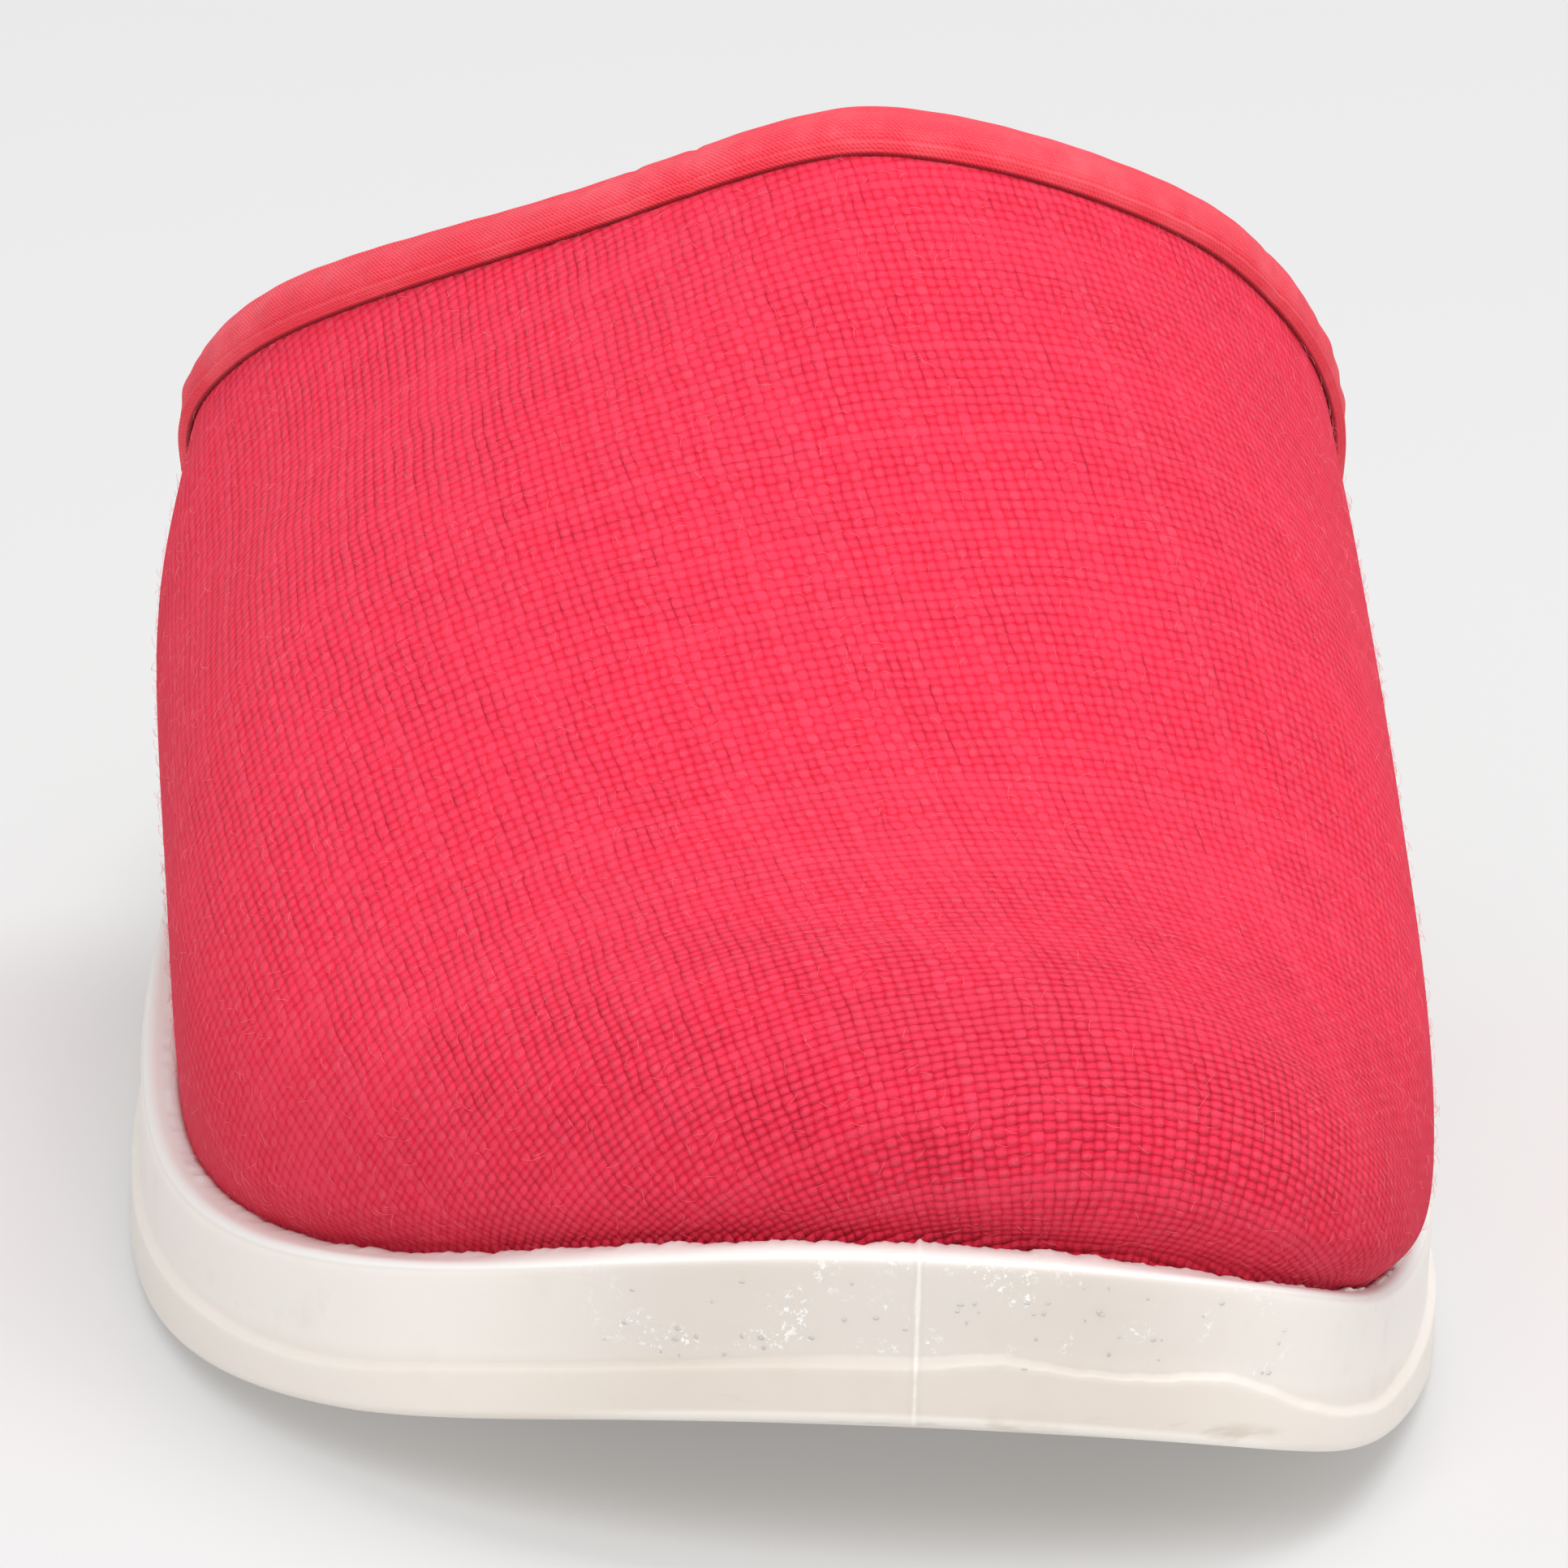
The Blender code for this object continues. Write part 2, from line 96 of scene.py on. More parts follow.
EDGE_ROUND = 0.0012
RECESS_DEPTH = 0.0040
GAP = 0.0003
WALL = 0.0018  # canvas and lining together
TAPE_WIDTH = 0.0048
RIDGE_ACROSS = 0.0048  # the last's highest line, off the middle
RIDGE_FRONT = 0.040
RIDGE_SETTLES = 0.060
RIDGE_ROUND = 0.14
NOSE_REACH = 0.016
THROAT_BACK = 0.1172  # the topline's highest point
TOPLINE_FOOT = 0.178  # where the topline meets the sole
TOPLINE_SHOULDER = 0.156
TOPLINE_RISE = 0.42
TOPLINE_ARCH = 0.50
RIB_LEAN = 1.6

OUTLINE = (
    # place, back (share of the length), across (share of the ball width)
    ("toe tip", 0.000, 0.135),
    ("big toe", 0.036, 0.376),
    ("big toe side", 0.118, 0.458),
    ("inner ball", 0.270, 0.496),
    ("inner waist", 0.430, 0.462),
    ("arch", 0.600, 0.420),
    ("inner heel", 0.800, 0.362),
    ("inner heel corner", 0.945, 0.240),
    ("heel back", 1.000, -0.010),
    ("outer heel corner", 0.945, -0.262),
    ("outer heel", 0.800, -0.385),
    ("outer waist", 0.600, -0.465),
    ("outer ball", 0.330, -0.498),
    ("little toe joint", 0.190, -0.447),
    ("little toe", 0.088, -0.320),
    ("middle toe", 0.021, -0.122),
)
SIDES = (
    # back (share), side height, outer ledge, inner ledge
    (0.00, 0.0119, 0.0038, 0.0039),
    (0.06, 0.0120, 0.0043, 0.0019),
    (0.15, 0.0121, 0.0031, 0.0014),
    (0.30, 0.0128, 0.0025, 0.0020),
    (0.50, 0.0160, 0.0030, 0.0026),
    (0.75, 0.0215, 0.0032, 0.0032),
    (1.00, 0.0240, 0.0036, 0.0036),
)
UPPER = (
    # back (share), ridge, shoulder, outer bulge, inner bulge, outer and inner fullness
    (0.00, 0.0432, 0.0052, 0.0025, 0.0031, 2.20, 2.20),
    (0.17, 0.0500, 0.0060, 0.0024, 0.0026, 2.10, 2.13),
    (0.30, 0.0650, 0.0160, 0.0012, 0.0004, 2.10, 2.13),
    (0.44, 0.0817, 0.0190, 0.0034, 0.0022, 1.05, 1.45),
    (0.60, 0.1012, 0.0232, 0.0064, 0.0030, 1.52, 1.65),
    (0.70, 0.1160, 0.0235, 0.0045, 0.0046, 1.52, 1.65),
)
print("measures:", len(OUTLINE), "outline rows,", len(UPPER), "last sections")

# %% [markdown]
# ## Smooth curves through a few rows
# A last has no corners. A cubic spline bends smoothly through each row of a table, so a short
# table is enough. It is solved here with numpy for many places at once, which keeps fine meshes
# quick to draw. Two more curves serve everywhere below: a soft fade from 0 to 1, and a mound.


# %% A spline through a table, a fade and a mound
def spline(places, values, closed=False):
    places, values = np.asarray(places, float), np.asarray(values, float)
    steps = np.diff(places)
    rise = (np.diff(values, axis=0).T / steps).T
    count = len(places)
    system, right = np.eye(count), np.zeros_like(values)
    for i in range(1, count - 1):
        system[i, i - 1 : i + 2] = steps[i - 1], 2 * (steps[i - 1] + steps[i]), steps[i]
        right[i] = 6 * (rise[i] - rise[i - 1])
    if closed:
        system[0, -1] = -1
        system[-1, :2] = 2 * steps[0], steps[0]
        system[-1, -2:] = steps[-1], 2 * steps[-1]
        right[-1] = 6 * (rise[0] - rise[-1])
    bend = np.linalg.solve(system, right)

    def at(place):
        place = np.asarray(place, float)
        i = np.clip(np.searchsorted(places, place) - 1, 0, count - 2)
        step = steps[i][..., None]
        b = (place - places[i])[..., None] / step
        a = 1 - b
        curved = ((a**3 - a) * bend[i] + (b**3 - b) * bend[i + 1]) * step**2 / 6
        return a * values[i] + b * values[i + 1] + curved

    return at


def smooth_step(value):
    value = np.clip(value, 0.0, 1.0)
    return value * value * (3 - 2 * value)


def fade(value, start, over):
    """0 at `start`, 1 from `over` further on; a negative `over` fades the other way."""
    return smooth_step((value - start) / over)


def mound(value, middle, half):
    """1 at the middle, falling to nearly 0 at twice the half width."""
    return np.exp(-(((value - middle) / half) ** 2))


def run_lengths(points):
    """The length of a line of points up to each of them."""
    return np.concatenate([[0], np.cumsum(np.linalg.norm(np.diff(points, axis=0), axis=1))])


def draw_outline(samples=1600):
    rows = [(across * BALL_WIDTH, back * LENGTH) for _, back, across in OUTLINE]
    rows = np.array(rows + rows[:1])
    places = run_lengths(rows)
    points = spline(places, rows, closed=True)(
        np.linspace(0, places[-1], samples, endpoint=False)
    )
    low, high = points.min(axis=0), points.max(axis=0)
    points = (points - low) / (high - low) * [BALL_WIDTH, LENGTH] - [BALL_WIDTH / 2, 0]
    return np.roll(points, -int(points[:, 1].argmin()), axis=0)


outline = draw_outline()
print("outline:", outline.shape, "points round the sole")


# %% [markdown]
# ## The two edges of the sole
# A sole's plan is drawn once and everything else keeps a distance from it. A table for each
# further line could drift from the first, so the outline is cut at the toe tip and at the heel
# into an inner and an outer edge. Each edge can be looked up by its distance along it and moved
# inwards, as a pattern cutter does with a compass, so the ledge, the recess and the upper's foot
# all follow the same line. The underside curls up at the toe by a rule of its own and is
# hollowed a little across its front, because a sole seldom lies quite flat there.


# %% Edges, heights and ledges
class Edge:
    def __init__(self, points, side):
        heel = int(points[:, 1].argmax())
        if side > 0:
            run = points[: heel + 1]
        else:
            run = np.concatenate([points[:1], points[: heel - 1 : -1]])
        self.run = run
        self.length = run_lengths(run)
        tangent = np.gradient(run, self.length, axis=0)
        self.normal = np.stack([tangent[:, 1], -tangent[:, 0]], axis=1) * side

    def at(self, distance, inset=0.0):
        point, normal = (
            np.stack([np.interp(distance, self.length, line[:, k]) for k in (0, 1)], -1)
            for line in (self.run, self.normal)
        )
        normal /= np.linalg.norm(normal, axis=-1, keepdims=True)
        return point - np.asarray(inset)[..., None] * normal

    def distance(self, back):
        return np.interp(back, self.run[:, 1], self.length)


EDGES = {side: Edge(outline, side) for side in (1, -1)}
side_row = spline([r[0] * LENGTH for r in SIDES], [r[1:] for r in SIDES])
upper_row = spline([r[0] * LENGTH for r in UPPER], [r[1:] for r in UPPER])


def toe_spring(back):
    return np.maximum(0.0, 1 - np.asarray(back) / SPRING_REACH) ** SPRING_CURVE * TOE_SPRING


def underside(back):
    share = np.asarray(back) / LENGTH
    curl = np.maximum(0.0, 1 - np.asarray(back) / UNDER_REACH) ** UNDER_CURVE * UNDER_SPRING
    arch = (np.clip(share, ARCH_FROM, ARCH_TO) - ARCH_FROM) / (ARCH_TO - ARCH_FROM)
    roll = np.maximum(0.0, share - HEEL_ROLL_FROM) / (1 - HEEL_ROLL_FROM)
    return curl + ARCH_LIFT * np.sin(math.pi * arch) ** 2 + HEEL_ROLL * roll**2


def under_bow(across, back):
    """How far the front of the underside is hollowed up in the middle."""
    hollow = np.clip(1 - ((across - BOW_MIDDLE) / BOW_HALF) ** 2, 0, 1)
    return UNDER_BOW * hollow * (1 - fade(back, 0, BOW_ENDS))


def ledge(back):
    return toe_spring(back) + side_row(back)[..., 0]


def recess_inset(back, side):
    return BAND_STEP + side_row(back)[..., 1 if side < 0 else 2]


sole_low, sole_high = (np.array(corner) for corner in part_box("sole"))
SHIFT = np.array([(sole_low + sole_high)[0] / 2, (sole_low + sole_high)[1] / 2, 0.0])


def place(points):
    """(across, back, height) points as points of the frame."""
    return np.asarray(points, float) - [0, LENGTH / 2, 0] + SHIFT


print("the frame stands", SHIFT * 1000, "mm off the tables' own middle")

# %% [markdown]
# ## The last's surface
# The upper takes the shape of the last that it is pulled over. It could be sculpted by hand, but
# canvas, lining, tape and threads all have to lie on the same face. So that face is one function
# of three numbers: the side, `turn` (0 at the toe tip, 1 at the topline) and `level` (0 at the
# ledge, 1 at the shoulder, the widest line, 2 at the ridge).
# Walls rise and bulge to the shoulder. Above it each cross-section falls from the ridge like a
# part of an ellipse, fuller or leaner by the table. Near the topline the cloth hugs the foot: the
# flanks lean inwards, and the instep rises on its inner half and sinks on its outer half.


# %% The last's surface
SHOULDER_PAST = 1.12  # the turn up to which the shoulder's line is measured
COLLAR_HUGS = 0.0024  # how far the flanks lean inwards at the topline
INSTEP_LEANS = 0.0008  # how far the instep's inner half rises
INSTEP_SINKS = 1.7  # how many times as far its outer half sinks
INSTEP_DROPS = 1.4  # how much of the rise is taken back beyond the inner half
INSTEP_LEAN_OVER = 0.026  # from the ridge to the full lean
BEND = 0.15  # the levels over which the bend at the shoulder is rounded off


def wall_point(side, turn, rise):
    foot = TOPLINE_FOOT + (TOPLINE_SHOULDER - TOPLINE_FOOT) * rise
    back = foot * (1 - np.cos(math.pi / 2 * turn))
    row = upper_row(back)
    bulge = row[..., 3] if side > 0 else row[..., 2]
    inset = recess_inset(back, side) + GAP - bulge * np.sin(math.pi / 2 * rise)
    spot = EDGES[side].at(EDGES[side].distance(back), inset)
    return np.concatenate([spot, (ledge(back) + row[..., 1] * rise)[..., None]], axis=-1)


SHOULDERS = {}
for side in (1, -1):
    rows = wall_point(side, np.linspace(0, SHOULDER_PAST, 260), np.ones(260))
    rows[:, 1] = np.maximum.accumulate(rows[:, 1])
    SHOULDERS[side] = rows
NOSE = float(SHOULDERS[1][0][1])


def shoulder_at(side, back):
    line = SHOULDERS[side]
    return [np.interp(back, line[:, 1], line[:, k]) for k in (0, 2)]


def ridge_point(back):
    front = float(SHOULDERS[1][0][0])
    across = front + (RIDGE_ACROSS - front) * fade(back, 0, RIDGE_SETTLES)
    base = (shoulder_at(1, back)[1] + shoulder_at(-1, back)[1]) / 2
    curl = 1 - np.clip((back - NOSE) / NOSE_REACH, 0.0, 1.0)
    return across, base + (upper_row(back)[..., 0] - base) * np.sqrt(1 - curl * curl)


def top_height(across, back):
    middle, peak = ridge_point(back)
    height = np.zeros_like(across)
    for side in (1, -1):
        widest, base = shoulder_at(side, back)
        share = np.clip((across - middle) / (widest - middle + 1e-9 * side), 0.0, 1.0)
        fullness = upper_row(back)[..., 5 if side > 0 else 4]
        fall = np.hypot(share, RIDGE_ROUND) ** fullness - RIDGE_ROUND**fullness
        whole = np.hypot(1, RIDGE_ROUND) ** fullness - RIDGE_ROUND**fullness
        here = base + (peak - base) * np.sqrt(np.maximum(0, 1 - fall / whole))
        height = np.where((across - middle) * side >= 0, here, height)
    return height


def bare_point(side, turn, level):
    wall = wall_point(side, turn, np.minimum(level, 1.0))
    across, back = wall[..., 0], wall[..., 1]
    lean = (1 - np.cos(math.pi / 2 * turn)) ** RIB_LEAN
    ridge_back = RIDGE_FRONT + (THROAT_BACK - RIDGE_FRONT) * lean
    ridge_across, peak = ridge_point(ridge_back)
    above = np.clip(level - 1, 0, 1)
    go = (1 - np.cos(math.pi / 2 * above)) ** (1 - lean / 2)
    rest = 1 - go
    straight = np.stack([across * rest + ridge_across * go, back * rest + ridge_back * go], -1)
    forward = 3 * rest**2 * go * TOPLINE_RISE + 3 * rest * go**2 + go**3
    share = rest**3 + 3 * rest**2 * go + 3 * rest * go**2 * TOPLINE_ARCH
    behind = back + (ridge_back - back) * forward
    middle = ridge_point(behind)[0]
    widest = shoulder_at(side, behind)[0]
    swept = np.stack([middle + (widest - middle) * share, behind], -1)
    plan = straight * (1 - lean[..., None]) + swept * lean[..., None]
    top = np.concatenate([plan, top_height(plan[..., 0], plan[..., 1])[..., None]], axis=-1)
    ridge = np.stack([ridge_across, ridge_back, peak], -1)
    top = np.where((level >= 2)[..., None], ridge, top)
    face = np.where((level <= 1)[..., None], wall, top)
    hug = fade(turn, 0.90, 0.10) * fade(level, 0, 0.5)
    face[..., 0] -= side * COLLAR_HUGS * hug * fade(level, 1.35, -0.8)
    off = (face[..., 0] - ridge_across) / INSTEP_LEAN_OVER
    lean_over = np.sign(off) * smooth_step(np.abs(off))
    lean_over = lean_over * np.where(off < 0, INSTEP_SINKS, 1 - INSTEP_DROPS * fade(off, 0.95, 0.4))
    lean_over = lean_over * fade(level, 1, 0.25) * fade(turn, 0.55, 0.35)
    face[..., 2] += INSTEP_LEANS * lean_over
    return face


def upper_point(side, turn, level):
    """A place on the face; near the topline the bend at the shoulder is rounded off."""
    turn, level = np.broadcast_arrays(np.asarray(turn, float), np.asarray(level, float))
    at_bend = np.ones_like(level)
    below, here, above = (bare_point(side, turn, at_bend + k * BEND) for k in (-1, 0, 1))
    off = (level - 1) / BEND
    soften = (np.sqrt(off**2 + 1) - np.abs(off)) / 2 * fade(turn, 0.88, 0.12)
    soften = soften * fade(level, 0, 0.4) * fade(level, 1.7, -0.4)
    return bare_point(side, turn, level) + (above + below - 2 * here) * soften[..., None]


throat = upper_point(1, 1.0, 2.0)
print("throat at", np.round(throat * 1000, 1), "mm (across, back, height)")

# %% [markdown]
# ## Camera
# A shoe in a shop's catalogue is shown by a long lens from well away. A short lens close by
# would swell the toe, so this one looks at the toe from 1.6 m, about 15 degrees above the floor,
# with almost no perspective. It is rolled by 2 degrees, so the slipper's outer side stands a
# little higher in the view than its inner side.

# %% Aim the camera
CAMERA_TILT = math.radians(15.3)
CAMERA_ROLL = math.radians(2)
CAMERA_AWAY = 1.600
CAMERA_LENS = 509.0
CAMERA_TARGET = Vector((-0.00074 + SHIFT[0], -0.1325, 0.06072))

forward = Vector((0, math.cos(CAMERA_TILT), -math.sin(CAMERA_TILT)))
level_right = Vector((1, 0, 0))
level_up = level_right.cross(forward)
right = level_right * math.cos(CAMERA_ROLL) + level_up * math.sin(CAMERA_ROLL)
up = level_up * math.cos(CAMERA_ROLL) - level_right * math.sin(CAMERA_ROLL)

lens = bpy.data.cameras.new("camera")
lens.lens = CAMERA_LENS
lens.sensor_width = 36
lens.clip_end = 50
camera = bpy.data.objects.new("camera", lens)
camera.matrix_world = Matrix.Translation(CAMERA_TARGET - forward * CAMERA_AWAY) @ (
    Matrix((right, up, -forward)).transposed().to_4x4()
)
bpy.context.scene.collection.objects.link(camera)
bpy.context.scene.camera = camera
print("camera at", tuple(round(v, 3) for v in camera.location))

# %% [markdown]
# ## Small helpers for meshes
# Most pieces here are grids of points. One helper turns a grid into faces, one welds points
# that lie on each other, and one makes the mesh object and lets it ride on the slipper.


# %% Mesh helpers
def grid_faces(rows, columns, first=0, closed=False):
    """Four-cornered faces of a rows x columns grid; `closed` joins the last column to the first."""
    wide = columns if closed else columns - 1
    r, c = np.meshgrid(np.arange(rows - 1), np.arange(wide), indexing="ij")
    d = (c + 1) % columns
    return first + np.stack(
        [r * columns + c, r * columns + d, (r + 1) * columns + d, (r + 1) * columns + c], -1
    ).reshape(-1, 4)


def weld(points, faces):
    """Merges points on the same spot and drops the corners and faces that this closes up."""
    keys = np.round(points * 1e7).astype(np.int64)
    _, first, back = np.unique(keys, axis=0, return_index=True, return_inverse=True)
    order = np.argsort(first)
    rank = np.empty_like(order)
    rank[order] = np.arange(len(order))
    kept = []
    for face in rank[back.reshape(-1)][faces].tolist():
        corners = [c for i, c in enumerate(face) if c != face[i - 1]]
        if len(set(corners)) > 2:
            kept.append(corners)
    return points[first[order]], kept


def add_object(name, data):
    thing = bpy.data.objects.new(name, data)
    bpy.context.scene.collection.objects.link(thing)
    return thing


def make_piece(name, points, faces, material, replaced):
    mesh = bpy.data.meshes.new(name)
    mesh.from_pydata(np.asarray(points).tolist(), [], [list(map(int, f)) for f in faces])
    mesh.polygons.foreach_set("use_smooth", [True] * len(mesh.polygons))
    mesh.materials.append(material)
    piece = add_object(name, mesh)
    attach(piece, "root")
    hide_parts(replaced)
    print(f"{name}: {len(mesh.vertices)} points, {len(mesh.polygons)} faces")
    return piece


# %% [markdown]
# ## Small helpers for materials
# A material is a recipe: texture coordinates go in, are bent and mixed by small nodes, and
# reach the shader as a colour, a roughness and a bump. `Finish` keeps each recipe short enough
# to read from top to bottom: every method adds one node and hands on what comes out of it.


# %% Material helpers
def linear(red, green, blue):
    """A colour as the eye reads it, 0 to 255, as the linear light that a shader takes."""
    shares = [c / 255 for c in (red, green, blue)]
    return [s / 12.92 if s <= 0.04045 else ((s + 0.055) / 1.055) ** 2.4 for s in shares] + [1.0]


class Finish:
    def __init__(self, name, **shader):
        self.material = bpy.data.materials.new(name)
        self.material.use_nodes = True
        self.nodes = self.material.node_tree.nodes
        self.shader = self.nodes["Principled BSDF"]
        for socket, value in shader.items():
            self.shader.inputs[socket.replace("_", " ")].default_value = value
        self.spot = self.nodes.new("ShaderNodeTexCoord").outputs["Object"]

    def feed(self, socket, value):
        if isinstance(value, bpy.types.NodeSocket):
            self.material.node_tree.links.new(value, socket)
        elif value is not None:
            socket.default_value = value

    def compute(self, operation, a, b=None, c=None):
        node = self.nodes.new("ShaderNodeMath")
        node.operation = operation
        for socket, value in zip(node.inputs, (a, b, c)):
            self.feed(socket, value)
        return node.outputs[0]

    plus = partialmethod(compute, "ADD")
    minus = partialmethod(compute, "SUBTRACT")
    times = partialmethod(compute, "MULTIPLY")
    times_plus = partialmethod(compute, "MULTIPLY_ADD")
    power = partialmethod(compute, "POWER")
    larger = partialmethod(compute, "MAXIMUM")
    size = partialmethod(compute, "ABSOLUTE")
    whole = partialmethod(compute, "FLOOR")
    sine = partialmethod(compute, "SINE")

    def ramp(self, value, low, high, to_low=0.0, to_high=1.0):
        """A soft fade from `to_low` to `to_high` as the value goes from `low` to `high`."""
        node = self.nodes.new("ShaderNodeMapRange")
        node.interpolation_type = "SMOOTHSTEP"
        for socket, each in zip(node.inputs, (value, low, high, to_low, to_high)):
            self.feed(socket, each)
        return node.outputs[0]

    def mix(self, share, a, b):
        """From a to b by the share; each is a colour of its own or comes out of a node."""
        node = self.nodes.new("ShaderNodeMix")
        node.data_type = "RGBA"
        for socket, value in ((0, share), (6, a), (7, b)):
            self.feed(node.inputs[socket], linear(*value) if isinstance(value, tuple) else value)
        return node.outputs[2]

    def paint(self, colour, *coats):
        """Lays coats over a colour, one after another, each a share and a colour."""
        for share, coat in coats:
            colour = self.mix(share, colour, coat)
        return colour

    def split(self, vector):
        node = self.nodes.new("ShaderNodeSeparateXYZ")
        self.feed(node.inputs[0], vector)
        return node.outputs

    def join(self, x, y, z=0.0):
        node = self.nodes.new("ShaderNodeCombineXYZ")
        for socket, value in zip(node.inputs, (x, y, z)):
            self.feed(socket, value)
        return node.outputs[0]

    def noise(self, vector, scale, detail=2.0, roughness=0.5, stretch=None):
        if stretch:
            node = self.nodes.new("ShaderNodeMapping")
            self.feed(node.inputs["Vector"], vector)
            node.inputs["Scale"].default_value = stretch
            vector = node.outputs[0]
        node = self.nodes.new("ShaderNodeTexNoise")
        self.feed(node.inputs["Vector"], vector)
        node.inputs["Scale"].default_value = scale
        node.inputs["Detail"].default_value = detail
        node.inputs["Roughness"].default_value = roughness
        return node.outputs[0]

    def cells(self, vector, scale):
        """The distance to the middle of the nearest cell."""
        node = self.nodes.new("ShaderNodeTexVoronoi")
        self.feed(node.inputs["Vector"], vector)
        node.inputs["Scale"].default_value = scale
        return node.outputs["Distance"]

    def chance(self, *vector):
        node = self.nodes.new("ShaderNodeTexWhiteNoise")
        self.feed(node.inputs["Vector"], self.join(*vector))
        return node.outputs["Value"]

    def own_map(self, name):
        node = self.nodes.new("ShaderNodeUVMap")
        node.uv_map = name
        return node.outputs[0]

    def bump(self, height, distance, strength):
        node = self.nodes.new("ShaderNodeBump")
        node.inputs["Strength"].default_value = strength
        node.inputs["Distance"].default_value = distance
        self.feed(node.inputs["Height"], height)
        return node.outputs[0]

    def give(self, **sockets):
        """Plugs values into the shader and returns the finished material."""
        for name, value in sockets.items():
            self.feed(self.shader.inputs[name.replace("_", " ")], value)
        return self.material


print("helpers ready")

# %% [markdown]
# ## Rubber
# The sole is one moulded piece of cream rubber. A mould leaves a soft, even satin skin with
# faint flow marks, tiny pits where air was trapped, white flakes and a raised seam on the toe,
# and a little grime low down, where the sole has been handled. All this could be painted on an
# image, but small nodes do it at any distance: noise at three sizes gives the skin, a cell
# pattern gives the pits, and ramps on the height keep each mark on its own band. A little
# light also passes into the rubber, which softens it, so the shader has some subsurface.

# %% Places on the rubber
SEAM_ACROSS = 0.0103
SEAM_FROM, SEAM_TO = 0.00024, 0.00044  # half widths of the seam's pale line
SEAM_FRAYS = 0.0004
TOE_FACE = (-0.118, -0.126)  # along Y: from nothing to the full face of the toe
TOE_OUTER, TOE_INNER = (-0.020, -0.006), (0.044, 0.034)  # along X


def places_on_rubber(rubber, x, y, z):
    """Height above the underside, share of the toe's face, and share of its middle part."""
    face = rubber.ramp(y, *TOE_FACE)
    toe = rubber.times(rubber.ramp(x, *TOE_OUTER), rubber.ramp(x, *TOE_INNER))
    toe = rubber.times(toe, face)
    curl = rubber.times_plus(y, -1 / UNDER_REACH, 1 - LENGTH / 2 / UNDER_REACH)
    curl = rubber.times(rubber.power(rubber.larger(curl, 0.0), UNDER_CURVE), UNDER_SPRING)
    aside = rubber.times_plus(x, 1 / BOW_HALF, -(BOW_MIDDLE + SHIFT[0]) / BOW_HALF)
    bow = rubber.larger(rubber.minus(1.0, rubber.times(aside, aside)), 0.0)
    bow_here = rubber.ramp(y, -LENGTH / 2, BOW_ENDS - LENGTH / 2, UNDER_BOW, 0.0)
    above = rubber.minus(rubber.minus(z, curl), rubber.times(bow, bow_here))
    return above, face, toe


print("the toe's face starts", round(LENGTH / 2 + TOE_FACE[0], 4), "m behind the toe tip")

# %% The rubber's finish
LEDGE_FACES = (0.12, 0.60)  # how far upwards a face looks where the ledge is painted lighter, as if lit from above
